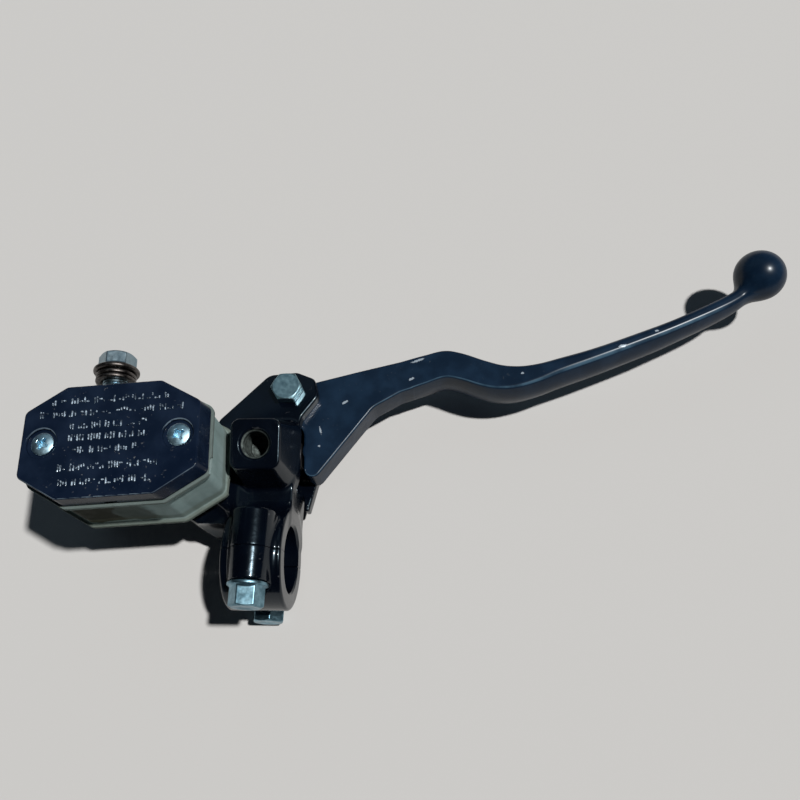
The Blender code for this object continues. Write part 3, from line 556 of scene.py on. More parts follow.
PAINT_SHEEN = (0.6, 0.84, 1.0, 1)
COAT_IOR = 2.2
DUST_TONE = (0.16, 0.17, 0.18)
WEAR_AND_GLINT_TONE = (0.33, 0.39, 0.45)
# The painted edge highlight lies where the surface turns up and back: ranges of its normal, and of x in
# metres.
HIGHLIGHT_UP, HIGHLIGHT_NOT_FLAT = (0.62, 0.8), (0.99, 0.93)
HIGHLIGHT_BACK, HIGHLIGHT_END = (-0.15, -0.4), (0.166, 0.155)


# Mask of the painted edge highlight: edges that turn up and back, short of the ball, broken by noise.
def painted_edge_highlight(m):
    rise = m.times(m.remap(m.normal("Z"), *HIGHLIGHT_UP), m.remap(m.normal("Z"), *HIGHLIGHT_NOT_FLAT))
    rim = m.times(rise, m.remap(m.normal("Y"), *HIGHLIGHT_BACK))
    rim = m.times(rim, m.remap(m.axis("X"), *HIGHLIGHT_END))
    return m.times(rim, m.remap(m.noise(130, 3), 0.3, 0.6, 0.3, 1.0))


def enamel(
    name, dark, light, roughness, dust, ior, coat, coat_rough=0.06, wear=(0.5, 0.65), edge_highlight=None,
    chips_and_glints=(),
):
    """Gloss paint: soft bluish sheen, thin clear layer, fine dust, rare edge wear, optional painted
    highlights.
    """
    m = Nodes(name, coat_weight=coat, coat_roughness=coat_rough, specular_tint=PAINT_SHEEN)
    m.shader.inputs["IOR"].default_value = ior
    m.shader.inputs["Coat IOR"].default_value = COAT_IOR
    tone = m.mix(m.remap(m.noise(120, 4), 0.35, 0.7), dark, light)
    dusty = m.times(spots(m, 900, 0.66, 0.74), spots(m, 90, 0.45, 0.7, 3.0))
    tone = m.mix(m.times(dusty, dust), tone, DUST_TONE)
    ragged = m.remap(m.noise(200, 5, 0.65), 0.3, 0.75, -0.2, 0.12, "LINEAR")
    wear_and_glint = m.remap(m.math("ADD", m.edge(), ragged), *wear)
    # Painted highlight: paler colour along the edges that turn up and back.
    if edge_highlight:
        tone = m.mix(painted_edge_highlight(m), tone, edge_highlight)
    # Spots of lost paint, and on the body one painted glint.
    if chips_and_glints:
        wear_and_glint = m.math("MAXIMUM", wear_and_glint, chips_and_glints_mask(m, chips_and_glints))
    tone = m.mix(wear_and_glint, tone, WEAR_AND_GLINT_TONE)
    gloss = m.remap(m.noise(70, 5, 0.6), 0.3, 0.75, roughness * 0.8, roughness * 1.3, "LINEAR")
    gloss = m.math("ADD", gloss, m.times(wear_and_glint, 0.2))
    m.link(m.times(wear_and_glint, 0.4), "Metallic")
    soft = m.bump(m.noise(420, 2), 0.00006)
    fine = m.bump(m.noise(1500, 2), 0.000012, 1.0, soft)
    return m.finish(tone, gloss, m.bump(wear_and_glint, -0.00004, 1.0, fine))


def plated(name, bright, dull, roughness):
    """Zinc plating: cool and bright, duller in patches, with fine scratches."""
    m = Nodes(name, metallic=1.0)
    tone = m.mix(m.remap(m.noise(350, 5, 0.62), 0.38, 0.66), bright, dull)
    gloss = m.vary(roughness * 0.9, roughness * 1.35, 600, 4, 0.6)
    scratch = m.noise(900, 2, 0.5, m.stretched((1, 0.12, 0.5)))
    return m.finish(tone, gloss, m.bump(scratch, 0.000012, 1.0, m.bump(m.noise(700, 3), 0.000004)))


def turned_metal(name, bright, dull, roughness, ridge=0.00002):
    m = Nodes(name, metallic=1.0)
    tone = m.mix(m.remap(m.noise(500, 5, 0.6), 0.35, 0.7), bright, dull)
    gloss = m.vary(roughness * 0.8, roughness * 1.5, 800)
    return m.finish(tone, gloss, m.bump(m.noise(1800, 2), ridge))


def rubber(name, colour, roughness):
    m = Nodes(name, metallic=0.0)
    pale = tuple(min(1.0, c * 2.2 + 0.01) for c in colour)
    tone = m.mix(m.remap(m.noise(400, 5, 0.65), 0.45, 0.75), colour, pale)
    gloss = m.vary(roughness * 0.85, roughness * 1.15, 900)
    return m.finish(tone, gloss, m.bump(m.noise(2200, 3), 0.00003))


def tank_plastic():
    """Aged translucent plastic: milky and streaked, with painted shade on part of the side facing -Y.
    """
    m = Nodes("tank_plastic", metallic=0.0, subsurface_weight=0.12, subsurface_scale=0.003)
    m.shader.inputs["Subsurface Radius"].default_value = (0.85, 1.05, 1.0)
    m.shader.inputs["IOR"].default_value = 1.035
    height = m.axis("Z")
    cloud = m.remap(m.noise(60, 5, 0.6), 0.3, 0.72)
    streak = m.remap(m.noise(260, 4, 0.6, m.stretched((1, 1, 0.16))), 0.35, 0.75)
    base = m.mix(cloud, (0.225, 0.32, 0.32), (0.32, 0.43, 0.43))
    base = m.mix(m.times(streak, 0.35), base, (0.12, 0.16, 0.14))
    wander = m.vary(-0.003, 0.003, 70, 4, 0.6)
    wobble = m.math("ADD", height, m.times(wander, 0.4))
    # Painted shade: the left part of the side facing -Y is darkened between the foot and the lip.
    inner = m.times(m.remap(wobble, 0.0125, 0.0135), m.remap(wobble, 0.0310, 0.0300))
    side = m.math("ADD", m.axis("X"), wander)
    front = m.remap(m.axis("Y"), 0.030, 0.022)
    left, right = m.remap(side, -0.0438, -0.0456, 0.78, 0.98), m.remap(side, -0.0295, -0.0340, 0.1, 1.0)
    front_shade = m.times(m.times(inner, front), m.times(left, right))
    base = m.mix(front_shade, base, (0.02, 0.021, 0.014))
    rim = m.math("MAXIMUM", m.remap(height, 0.0308, 0.0312), m.remap(height, 0.0120, 0.0116))
    base = m.mix(m.times(rim, 0.85), base, (0.10, 0.122, 0.115))
    pool = m.times(m.remap(wobble, 0.0175, 0.0150), 0.4)
    base = m.mix(pool, base, (0.10, 0.11, 0.08))
    return m.finish(base, m.vary(0.28, 0.5, 300, 4), m.bump(m.noise(500, 4, 0.6), 0.00004))


# Spots of lost paint, and on the body one painted glint: x, y, length and width in millimetres, and
# angle in degrees.
LEVER_CHIPS = (
    (25.4, 57.0, 2.9, 0.8, 25), (17.3, 46.2, 2.9, 0.7, -72), (17.1, 40.3, 0.9, 0.8, 0),
    (51.9, 73.4, 5.0, 0.9, 18), (49.5, 65.9, 2.2, 0.9, 28),
    (89.5, 66.6, 1.0, 0.8, 0), (125.3, 76.4, 3.0, 1.0, 11), (137.7, 82.2, 1.5, 0.7, 7),
)
# Painted highlight: one glint on the upper ear's edge, drawn like a spot of lost paint.
BODY_GLINT_SPOT = ((12.6, 51.2, 3.0, 0.8, 38),)


def mark_paint():
    """The cap's paint on its raised dashes: pale on some, dark on others; partly wear, partly painted
    glints.
    """
    m = Nodes("mark_paint", coat_weight=0.2, coat_roughness=0.1, specular_tint=PAINT_SHEEN)
    some, specks = m.remap(m.noise(650, 2, 0.5), 0.38, 0.60), m.remap(m.noise(1900, 3, 0.6), 0.36, 0.58)
    # The pale bluish tone is partly wear and partly a painted glint where light catches the dashes.
    tone = m.mix(m.times(some, specks), (0.008, 0.013, 0.026), (0.44, 0.55, 0.66))
    return m.finish(tone, m.vary(0.22, 0.4, 900), m.bump(m.noise(1600, 2), 0.00003))


MARK_PAINT = mark_paint()
# The body's paint has one painted glint, on the upper ear's edge.
BODY_PAINT = enamel(
    "body_paint", (0.0006, 0.0013, 0.0036), (0.0011, 0.0024, 0.0060), 0.235, 0.4, 1.32, 0.16,
    wear=(0.9, 1.1), chips_and_glints=BODY_GLINT_SPOT,
)
# The lever carries a painted highlight colour along its edges that turn up and back.
LEVER_PAINT = enamel(
    "lever_paint", (0.0035, 0.0115, 0.027), (0.0075, 0.021, 0.045), 0.33, 0.3, 1.18, 0.11, 0.27,
    edge_highlight=(0.05, 0.10, 0.15), chips_and_glints=LEVER_CHIPS,
)
# The cap carries a painted highlight colour along its edges that turn up and back.
CAP_PAINT = enamel(
    "cap_paint", (0.0034, 0.0078, 0.020), (0.0078, 0.0150, 0.033), 0.25, 1.0, 1.12, 0.06,
    wear=(0.9, 1.0), edge_highlight=(0.11, 0.15, 0.19),
)
ZINC = plated("zinc", (0.31, 0.50, 0.565), (0.285, 0.465, 0.53), 0.32)
BOLT_ZINC = plated("bolt_zinc", (0.22, 0.38, 0.46), (0.11, 0.21, 0.265), 0.32)
DULL_ZINC = plated("dull_zinc", (0.27, 0.36, 0.41), (0.20, 0.28, 0.33), 0.3)
BRIGHT_ZINC = plated("bright_zinc", (0.52, 0.76, 0.88), (0.38, 0.60, 0.72), 0.36)
THREAD_METAL = turned_metal("thread_metal", (0.095, 0.115, 0.11), (0.035, 0.042, 0.04), 0.55, 0.0001)
WASHER_METAL = turned_metal("washer_metal", (0.13, 0.118, 0.112), (0.055, 0.05, 0.048), 0.34)
PLUNGER_METAL = turned_metal("plunger_metal", (0.09, 0.09, 0.095), (0.045, 0.045, 0.05), 0.4)
SPRING_STEEL = turned_metal("spring_steel", (0.5, 0.5, 0.5), (0.32, 0.31, 0.3), 0.28)
BRONZE = turned_metal("bronze", (0.55, 0.37, 0.19), (0.32, 0.2, 0.1), 0.4)
RUBBER = rubber("black_rubber", (0.012, 0.012, 0.012), 0.62)
WHITE_PLASTIC = rubber("white_plastic", (0.42, 0.42, 0.38), 0.5)
TANK_PLASTIC = tank_plastic()


# ---- body casting


def outline_box(low_x, low_y, high_x, high_y, radius=0):
    corners = ((low_x, low_y), (high_x, low_y), (high_x, high_y), (low_x, high_y))
    return rounded([(x, y, radius) for x, y in corners])


NECK = outline_box(-10, 8, 10, 30)
UPPER_EAR = Plan(rounded([
    (-9.5, 14, 0), (9.6, 14, 0), (9.8, 40, 0), (10.4, 47.4, 4), (11, 50.1, 3), (16.6, 58, 4),
    (14.8, 64.6, 3), (8, 67.4, 4), (-2.2, 66.4, 5), (-19.2, 48.6, 4), (-20, 22, 0),
]), NECK)
LOWER_EAR = Plan(rounded([
    (-9.5, 14, 0), (9.8, 14, 0), (9.9, 26, 0), (11.3, 19.7, 0.7), (12.8, 19.7, 0.7),
    (15.1, 30, 3), (15.6, 55, 5), (15.4, 66, 5), (6, 70, 5), (-3.2, 66, 5), (-18.8, 48.3, 4),
    (-19.6, 22.3, 0),
]), NECK)
WEB = Plan(rounded([
    (-8, 3.5, 0), (-8, 30, 0), (-46, 30, 0), (-38, 22, 4), (-27, 13.5, 6), (-17, 8, 5),
    (-11.5, 5.4, 2),
]))
TANK_SEAT = Plan(outline_box(-22, -11.5, 22, 15.5, 5))
BOSS = Plan(outline_box(-8.4, -8.4, 8.4, 8.4, 3))
SLOT = Plan(rounded([
    (-6.5, -14, 2), (45, -14, 0), (45, 50, 0), (-11, 50, 0), (-11, 15, 5), (-6.5, 8, 3),
]))
PORT_RADIUS = 8
PORT_END = 24
BOSS_DEPTH = 19
BOSS_DRAFT = 0.09
BOSS_TOE = 0.035
HALF_SPLIT = 0.03
TUBE_RADIUS = 6.3
TUBE_DRAFT = 0.07
MIRROR_HOLE_MOUTH = 4.9
MIRROR_HOLE_RADIUS = 5.25
MIRROR_HOLE_DEPTH = 15.6


def boss_frame(y, z):
    dy, dz = y - MIRROR_TOP[1], z - MIRROR_TOP[2]
    c, s = cos(MIRROR_TILT), sin(MIRROR_TILT)
    return dy * c + dz * s, dz * c - dy * s


def clamp(x, y, z, low, high):
    """The ring and the two tubes for the bolts. The upper tube narrows towards the bolt's head."""
    ring = slab(hypot(y, z) - CLAMP_RADIUS, x, -CLAMP_HALF_WIDTH, CLAMP_HALF_WIDTH, 1.0)
    swell = clip(y + 10.5, 0, 10.5) * TUBE_DRAFT
    upper = slab(hypot(x, z - CLAMP_BOLT_Z) - TUBE_RADIUS - swell, y, low, high, 0.7)
    lower = slab(hypot(x, z + CLAMP_BOLT_Z) - TUBE_RADIUS, y, low, high, 0.7)
    return blend_min(ring, minimum(upper, lower), 2.2)


def bar_bore(x, y, z):
    flare = clip(abs(x) - (CLAMP_HALF_WIDTH - 0.5), 0, 1)
    return hypot(y, z) - BAR_RADIUS - flare


def body_field(x, y, z):
    u, v = to_barrel(x, y)
    shape = clamp(x, y, z, -3, 12.5)
    upper, lower = UPPER_EAR(x, y), LOWER_EAR(x, y)
    plates = minimum(slab(upper, z, -14, 5.8, 0.7), slab(lower, z, -15, -9.8, 1.0))
    shape = blend_min(shape, plates, 3.5)
    radius = 10.5 + 0.9 * step_up(u, -15.4, -14.2)
    barrel = slab(hypot(v, z - BARREL_Z) - radius, u, -78, -6.5, 1.2)
    web = slab(WEB(x, y), z, -9, 4, 1.6)
    seat_plan = TANK_SEAT(u - TANK_CENTRE[0], v - TANK_CENTRE[1])
    seat = slab(seat_plan, z, 2, TANK_BOTTOM - 0.3, 1.0)
    port = slab(hypot(u - PORT_X, z - BARREL_Z) - PORT_RADIUS, v, 0, PORT_END, 0.5)
    left = blend_min(blend_min(barrel, port, 3), blend_min(web, seat, 2.5), 3)
    shape = blend_min(shape, left, 4)
    by, bz = boss_frame(y, z)
    depth = clip(-bz, 0, BOSS_DEPTH)
    lean = depth * BOSS_DRAFT
    toe = np.where(by < 0, by / (1 + depth * BOSS_TOE), by)
    boss = slab(BOSS(x - MIRROR_TOP[0] - lean, toe) - lean, bz, -BOSS_DEPTH, 0, 0.6)
    shape = blend_min(shape, boss, 1.6)
    ring_plan = maximum(abs(x) - CLAMP_HALF_WIDTH, abs(y - 8) - 9)
    barrel_plan = maximum(abs(v) - 11.4, abs(u + 42.2) - 35.8)
    port_plan = maximum(abs(u - PORT_X) - PORT_RADIUS, abs(v - PORT_END / 2) - PORT_END / 2)
    left_plan = minimum(WEB(x, y), seat_plan)
    left_plan = blend_min(blend_min(barrel_plan, port_plan, 3), left_plan, 3)
    right_plan = minimum(minimum(ring_plan, upper), lower)
    shape = blend_max(shape, blend_min(right_plan, left_plan, 4) - 0.25, 0.6)
    slot = slab(SLOT(u, v), z, LEVER_BOTTOM - 0.4, LEVER_TOP + 0.4, 0.4)
    shape = cut(shape, slot)
    bore = hypot(v, z - BARREL_Z)
    shape = cut(shape, bore - BORE_RADIUS, abs(u + 34) - 40)
    shape = cut(shape, bore - 7.4 - clip(u + 7, 0, 1), abs(u + 4.5) - 9)
    shape = cut(shape, bore - 8, abs(u + 11.7) - 0.7)
    shape = cut(shape, bar_bore(x, y, z))
    across = hypot(x - PIVOT[0], y - PIVOT[1])
    shape = cut(shape, across - PIVOT_HOLE, -z)
    shape = cut(shape, across - BOLT_HOLE, z)
    mirror = hypot(x - MIRROR_TOP[0], by)
    mouth = (mirror - MIRROR_HOLE_MOUTH - clip(bz + 0.7, 0, 1)) * 0.75
    hole = minimum(mouth, maximum(mirror - MIRROR_HOLE_RADIUS, bz + 1.2))
    shape = blend_max(shape, -maximum(hole, -MIRROR_HOLE_DEPTH - bz), 0.15)
    thread = hypot(u - PORT_X, z - BARREL_Z)
    shape = cut(shape, thread - 5 - clip(v - PORT_END + 0.6, 0, 1), 10 - v)
    shape = cut(shape, hypot(u + 44, v) - 6.9, 4.3 - z)
    for at in (TANK_CENTRE[0] - TANK_SCREW_X, TANK_CENTRE[0] + TANK_SCREW_X):
        shape = cut(shape, hypot(u - at, v + 11) - TANK_SCREW_HOLE, 0.6 - z)
    for at in BOLT_SIDES:
        shape = cut(shape, hypot(x, z - at) - BOLT_HOLE, y - 11)
    return blend_max(shape, HALF_SPLIT - y, 0.35)


def holder_field(x, y, z):
    shape = clamp(x, y, z, -10.5, 3)
    for at in BOLT_SIDES:
        across = hypot(x, z - at)
        shape = cut(shape, across - 6.9, y + 10.5)
        shape = cut(shape, across - BOLT_HOLE)
    shape = cut(shape, bar_bore(x, y, z))
    return blend_max(shape, y + HALF_SPLIT, 0.35)


BODY_STEP = 0.32
carve(
    "body_casting", body_field, ((-82, -1, -17), (20, 73, 25)), BODY_STEP, BODY_PAINT,
    "black_paint", "master_cylinder_body", wear=True,
)
carve(
    "clamp_half", holder_field, ((-12, -19, -24), (12, 1, 24)), BODY_STEP * 0.8, BODY_PAINT,
    "black_paint", "clamp_holder", wear=True,
)

# ---- lever

PLATE_OUTLINE = rounded([
    (-1.8, 56, 4), (-1.5, 64.2, 5.5), (7, 68, 5), (12.5, 64.8, 4), (30.5, 69.5, 0), (45.2, 73.1, 0),
    (50, 74.4, 0), (50, 62.4, 0), (45.7, 61, 6), (36, 55.2, 8), (14.8, 26.2, 3), (12.2, 31.5, 2),
    (11.2, 46.5, 5),
])
# Stations along the blade: front edge x, y, rear edge x, y, top, bottom, bulge of the two sides.
BLADE = np.array([
    (45.2, 73.1, 45.7, 61.0, 1.5, -9.9, 0.2),
    (54.0, 75.5, 54.2, 64.0, 1.8, -10.1, 0.4),
    (61.5, 77.0, 61.5, 66.3, 2.4, -10.3, 0.6),
    (68.0, 75.6, 67.2, 65.3, 2.8, -10.7, 0.8),
    (76.2, 72.3, 74.6, 62.6, 3.2, -10.9, 1.0),
    (82.5, 70.2, 80.5, 61.3, 3.6, -11.1, 1.2),
    (88.9, 69.5, 87.4, 61.5, 4.0, -11.1, 1.5),
    (95.6, 70.1, 95.4, 63.8, 4.5, -10.8, 2.0),
    (102.8, 71.8, 103.0, 66.9, 4.9, -10.4, 2.3),
    (117.2, 76.0, 117.3, 72.2, 5.0, -9.9, 2.4),
    (136.8, 83.3, 137.0, 79.9, 5.0, -8.8, 2.2),
    (146.6, 87.4, 147.0, 84.1, 5.0, -7.8, 1.9),
    (159.9, 93.7, 160.6, 90.3, 5.0, -6.4, 1.6),
    (167.8, 98.3, 168.9, 94.8, 4.9, -5.2, 1.3),
    (174.5, 103.6, 176.0, 100.3, 4.6, -4.0, 1.0),
])


def flowing(rows, parts=8):
    """Rows between the given ones, on smooth curves through them."""
    padded = np.vstack([2 * rows[0] - rows[1], rows, 2 * rows[-1] - rows[-2]])
    made = []
    for i in range(1, len(padded) - 2):
        a, b, c, d = padded[i - 1 : i + 3]
        square, cube = 2 * a - 5 * b + 4 * c - d, 3 * b - a - 3 * c + d
        for t in np.arange(parts) / parts:
            made.append(0.5 * (2 * b + (c - a) * t + square * t**2 + cube * t**3))
    return np.array(made + [rows[-1]])


STATIONS = flowing(BLADE)
NOSE = from_barrel(NOSE_X + NOSE_RADIUS, 0)
LEVER_PLAN = Plan(
    PLATE_OUTLINE,
    [tuple(row[:2]) for row in STATIONS] + [tuple(row[2:4]) for row in STATIONS[::-1]],
    arc(NOSE, NOSE_RADIUS, 0, 2 * pi, 48)[:-1],
)
ALONG = (STATIONS[:, 0] + STATIONS[:, 2]) / 2
ALONG_X = np.concatenate([[30], ALONG])
ALONG_TOP = np.concatenate([[LEVER_TOP], STATIONS[:, 4]])
ALONG_BOTTOM = np.concatenate([[LEVER_BOTTOM], STATIONS[:, 5]])
ALONG_BULGE = np.concatenate([[0], STATIONS[:, 6]])


def lever_field(x, y, z):
    top = np.interp(x, ALONG_X, ALONG_TOP)
    bottom = np.interp(x, ALONG_X, ALONG_BOTTOM)
    bulge = np.interp(x, ALONG_X, ALONG_BULGE)
    share = clip((top - z) / (top - bottom), 0, 1)
    side = LEVER_PLAN(x, y) - bulge * (1 - (2 * share - 1) ** 2)
    edge = 0.7 + 0.5 * step_up(x, 50, 110)
    arm = both(side, maximum(z - top, bottom - z), edge)
    ball = np.sqrt((x - BALL[0]) ** 2 + (y - BALL[1]) ** 2 + (z - BALL[2]) ** 2) - BALL_RADIUS
    arm = blend_min(arm, ball, 4.5)
    return maximum(arm, 5.5 - hypot(x - PIVOT[0], y - PIVOT[1]))


LEVER_STEP = 0.36
carve(
    "lever_arm", lever_field, ((-4, 23, -13), (189, 117, 13)), LEVER_STEP, LEVER_PAINT,
    "lever_paint", "brake_lever", body="lever", wear=True,
)

# ---- reservoir and cap

CAP_PLAN = Plan(inset_octagon(0))
TANK_PLAN = Plan(inset_octagon(0.5))
POCKET_HALF = (16.8, 17.2)
CAP_SCREW_HOLE = 2.3
TANK_TOE = 1.045


def pocket(inset):
    half = (POCKET_HALF[0] - inset, POCKET_HALF[1] - inset)
    return Plan(octagon(half, (half[0] - 5, half[1] - 5), 1.5))


POCKET_PLAN = pocket(0)
MOUTH_PLAN = pocket(2.4)


def on_tank(x, y):
    u, v = to_barrel(x, y)
    return u - TANK_CENTRE[0], v - TANK_CENTRE[1]


def tank_field(x, y, z):
    u, v = on_tank(x, y)
    floor, rim = TANK_BOTTOM + 2.4, TANK_TOP - 2
    toe = np.where(u > 0, u / TANK_TOE, u)
    outer, wall = CAP_PLAN(toe, v) - 0.5, TANK_PLAN(toe, v) - 0.5
    shape = slab(wall + 0.25, z, TANK_BOTTOM, TANK_TOP, 0.3)
    shape = blend_min(shape, slab(outer - 0.6, z, TANK_BOTTOM, TANK_BOTTOM + 1.8, 0.45), 0.8)
    shape = blend_min(shape, slab(outer - 0.35, z, TANK_TOP - 1.7, TANK_TOP, 0.35), 0.4)
    spigot = hypot(u - 5.2, v - 5.9)
    shape = minimum(shape, slab(spigot - 5.4, z, 4.6, floor, 0.3))
    inner = slab(wall + 2.4, z, floor, rim, 0.8)
    for at in SCREW_SIDES:
        inner = blend_max(inner, 4.6 - hypot(u - at, v), 1.0)
    shape = cut(shape, inner)
    shape = cut(shape, MOUTH_PLAN(u, v), rim - 1 - z)
    for at in SCREW_SIDES:
        shape = cut(shape, hypot(u - at, v) - CAP_SCREW_HOLE, TANK_TOP - 14 - z)
    for at in (-TANK_SCREW_X, TANK_SCREW_X):
        shape = cut(shape, hypot(u - at, v + 5.1) - TANK_SCREW_HOLE, z - floor - 1)
    return cut(shape, spigot - 3.6, z - floor - 1)


MARK_HEIGHT = 0.28
LID_TOE = 0.0078
LID_TOP = CAP_TOP - MARK_HEIGHT
SEAT = LID_TOP - 1.1


def lid_field(x, y, z):
    u, v = on_tank(x, y)
    toe = np.where(u > 0, u / (1 + clip(LID_TOP - z, 0, 8) * LID_TOE), u)
    shape = slab(CAP_PLAN(toe, v), z, CAP_BOTTOM, LID_TOP, 0.5)
    shape = cut(shape, slab(POCKET_PLAN(u, v), z, CAP_BOTTOM - 3, CAP_TOP - 2.5, 0.4))
    notch = maximum(maximum(abs(u) - 2, abs(v + CAP_HALF[1]) - 1.5), z - CAP_BOTTOM - 1.6)
    shape = blend_max(shape, -notch, 0.4)
    for at in SCREW_SIDES:
        across = hypot(u - at, v)
        well = maximum(across - 4.9 + clip(LID_TOP - z, 0, 0.3) - 0.3, SEAT - z)
        cone = maximum((across - 3.9 - (z - SEAT)) * 0.7, SEAT - 1.6 - z)
        hole = minimum(maximum(cone, z - SEAT - 0.2), across - CAP_SCREW_HOLE)
        shape = cut(blend_max(shape, -well, 0.25), hole)
    return shape


TANK_STEP = 0.34
carve(
    "tank", tank_field, ((-84, 7, 3.5), (-11, 55, 34)), TANK_STEP, TANK_PLASTIC,
    "tank_plastic", "reservoir",
)
carve(
    "lid", lid_field, ((-84, 7, 32), (-11, 55, 42)), TANK_STEP * 0.75, CAP_PAINT,
    "cap_paint", "reservoir_cap", wear=True,
)

# Raised dashes where the real cap has its moulded text: y of a row, its first and its last x.
MARK_ROWS = (
    (13.6, -19.8, 19.1), (9.4, -23.4, 23.4), (5.0, -13.1, 13.0), (1.0, -13.2, 12.3),
    (-3.3, -11.4, 9.8), (-8.8, -15.6, 16.6), (-13.7, -14.9, 15.6),
)
MARK_TALL = 2.45
MARK_RINGS = ((-0.05, LID_TOP - 0.25), (0, LID_TOP + 0.02), (0.04, CAP_TOP - 0.06), (0.12, CAP_TOP))


def mark(shape, x, y, width, tall):
    """One raised dash with chamfered rims, in the lid's frame."""
    rings = []
    for inset, z in MARK_RINGS:
        hx, hy = max(width / 2 - inset, 0.05), tall / 2 - inset
        off = min(hx, hy) * 0.5
        points = []
        for cx, cy in octagon((hx, hy), (hx - off, hy - off), 0):
            wx, wy = from_barrel(x + cx + TANK_CENTRE[0], y + cy + TANK_CENTRE[1])
            points.append(shape.verts.new((wx * MM, wy * MM, z * MM)))
        rings.append(points)
    bridge(shape, rings)


def marks():
    """Rows of dashes in groups: mostly upright, some short, some flat, none of them a letter."""
    draw = np.random.default_rng(11)
    shape = bmesh.new()
    for row_y, first, last in MARK_ROWS:
        x = first
        while x < last - 0.4:
            for _ in range(int(draw.integers(2, 7))):
                if x > last - 0.4:
                    break
                kind = draw.random()
                if kind < 0.18:
                    width, tall = float(draw.uniform(0.8, 1.2)), 0.5
                elif kind < 0.5:
                    width, tall = 0.46, float(draw.uniform(0.8, 1.3))
                else:
                    width, tall = 0.5, float(draw.uniform(1.8, MARK_TALL))
                shift = float(draw.uniform(-0.5, 0.5)) * (MARK_TALL - tall)
                mark(shape, x + width / 2, row_y + shift, width, tall)
                x += width + float(draw.uniform(0.28, 0.5))
            x += float(draw.uniform(0.6, 1.3))
    add("lid_marks", mesh_of("lid_marks", shape, 40), MARK_PAINT, "body", "cap_paint")


marks()

# ---- fasteners


def around(half, low, high):
    """A box round local Z, from low to high."""
    return (-half, -half, low), (half, half, high)


def hexagon(x, y, flats, turn=0.0):
    sides = [
        abs(x * cos(turn + a) + y * sin(turn + a)) - flats / 2
        for a in (pi / 6, pi / 2, 5 * pi / 6)
    ]
    return blend_max(blend_max(sides[0], sides[1], 0.3), sides[2], 0.3)


def hex_head(x, y, z, flats, low, high, turn=0.0, dish=0.0):
    """Hexagon with its corners turned down by a cone at the top, and an optional shallow dish."""
    r = hypot(x, y)
    cone = (r - flats * 0.475) * 0.5 + (z - high) * 0.866
    head = blend_max(hexagon(x, y, flats, turn), maximum(cone, z - high), 0.22)
    if dish:
        bowl = hypot(r, z - high - 12) - hypot(flats * 0.36, 12)
        head = blend_max(head, -maximum(bowl, -(z - high + dish)), 0.2)
    return maximum(head, low - z)


def threaded(x, y, z, radius, pitch, depth, low, high):
    """A shank from low to high, less a groove that winds up along z."""
    phase = z / pitch - np.arctan2(y, x) / (2 * pi)
    groove = abs(phase - np.round(phase)) * 2
    side = (hypot(x, y) - radius + depth * (1 - groove)) * 0.8
    return maximum(side, maximum(low - z, z - high))


def clamp_bolt_field(x, y, z):
    r = hypot(x, y)
    flange = slab(r - 6.6, z, 0, 1.15, 0.35)
    skirt = maximum((r - 6.2 + (z - 1.0) * 1.6) * 0.53, abs(z - 1.55) - 0.75)
    shape = minimum(flange, skirt)
    shape = blend_min(shape, hex_head(x, y, z, 10, 0.5, 7.8, dish=0.35), 0.5)
    return minimum(shape, threaded(x, y, z, 3, 1.0, 0.6, -21, 0.5))


for side, height, turn in (("upper", CLAMP_BOLT_Z, radians(-9)), ("lower", -CLAMP_BOLT_Z, radians(14))):
    carve(
        f"grip_bolt_{side}", clamp_bolt_field, around(7.2, -21.6, 8.2), 0.19,
        BOLT_ZINC, "zinc_steel", f"clamp_bolt_{side}",
        place=place_at((0, -10.8, height), (0, -1, 0), (cos(turn), 0, sin(turn))),
    )


def pivot_bolt_field(x, y, z):
    r = hypot(x, y)
    head = hex_head(x, y, z, 10, 6.1, 9.8)
    washer_face = slab(r - 4.7, z, 6.0, 6.6, 0.15)
    shoulder = slab(r - 4, z, -9.7, 7, 0.2)
    shank = threaded(x, y, z, 3, 1.0, 0.6, -21.3, -9)
    tip = (r - 2.4 - (z + 21.3)) * 0.7
    return minimum.reduce([head, washer_face, shoulder, blend_max(shank, tip, 0.1)])


def nut_field(x, y, z):
    r = hypot(x, y)
    lower = (r - 4.75) * 0.5 + (-20.3 - z) * 0.866
    shape = hex_head(x, y, z, 10, -20.3, -15.3)
    return maximum(maximum(blend_max(shape, lower, 0.2), -20.3 - z), BOLT_HOLE - r)


PIVOT_PLACE = place_at((*PIVOT, 0), (0, 0, 1))
carve(
    "lever_bolt", pivot_bolt_field, around(6.2, -21.8, 10.2), 0.18, ZINC,
    "zinc_steel", "pivot_bolt", place=PIVOT_PLACE,
)
carve(
    "lever_nut", nut_field, around(6.2, -20.8, -14.8), 0.2, ZINC,
    "zinc_steel", "pivot_nut", place=PIVOT_PLACE,
)


def lid_screw_field(x, y, z):
    """Countersunk raised head with a cross recess. Local z = 0 is the seat."""
    r = hypot(x, y)
    dome = hypot(r, z + 9.1) - 9.9
    head = maximum(maximum(r - 3.6, dome), -0.1 - z)
    cone = maximum((r - 3.6 - z) * 0.7, maximum(-1.7 - z, z - 0.1))
    shank = threaded(x, y, z, 2, 0.7, 0.4, -18, -1.4)
    shape = minimum.reduce([blend_max(head, r - 3.55, 0.25), cone, shank])
    taper = 0.22 * clip(z + 1.4, 0, 3)
    length, width = 1.15, 0.34
    long_x = maximum(abs(x) - length - taper * 1.9, abs(y) - width - taper * 0.25)
    long_y = maximum(abs(y) - length - taper * 1.9, abs(x) - width - taper * 0.25)
    centre = r - 0.75 - taper
    cross = blend_min(minimum(long_x, long_y), centre, 0.4)
    return blend_max(shape, -maximum(cross, -1.1 - z), 0.12)


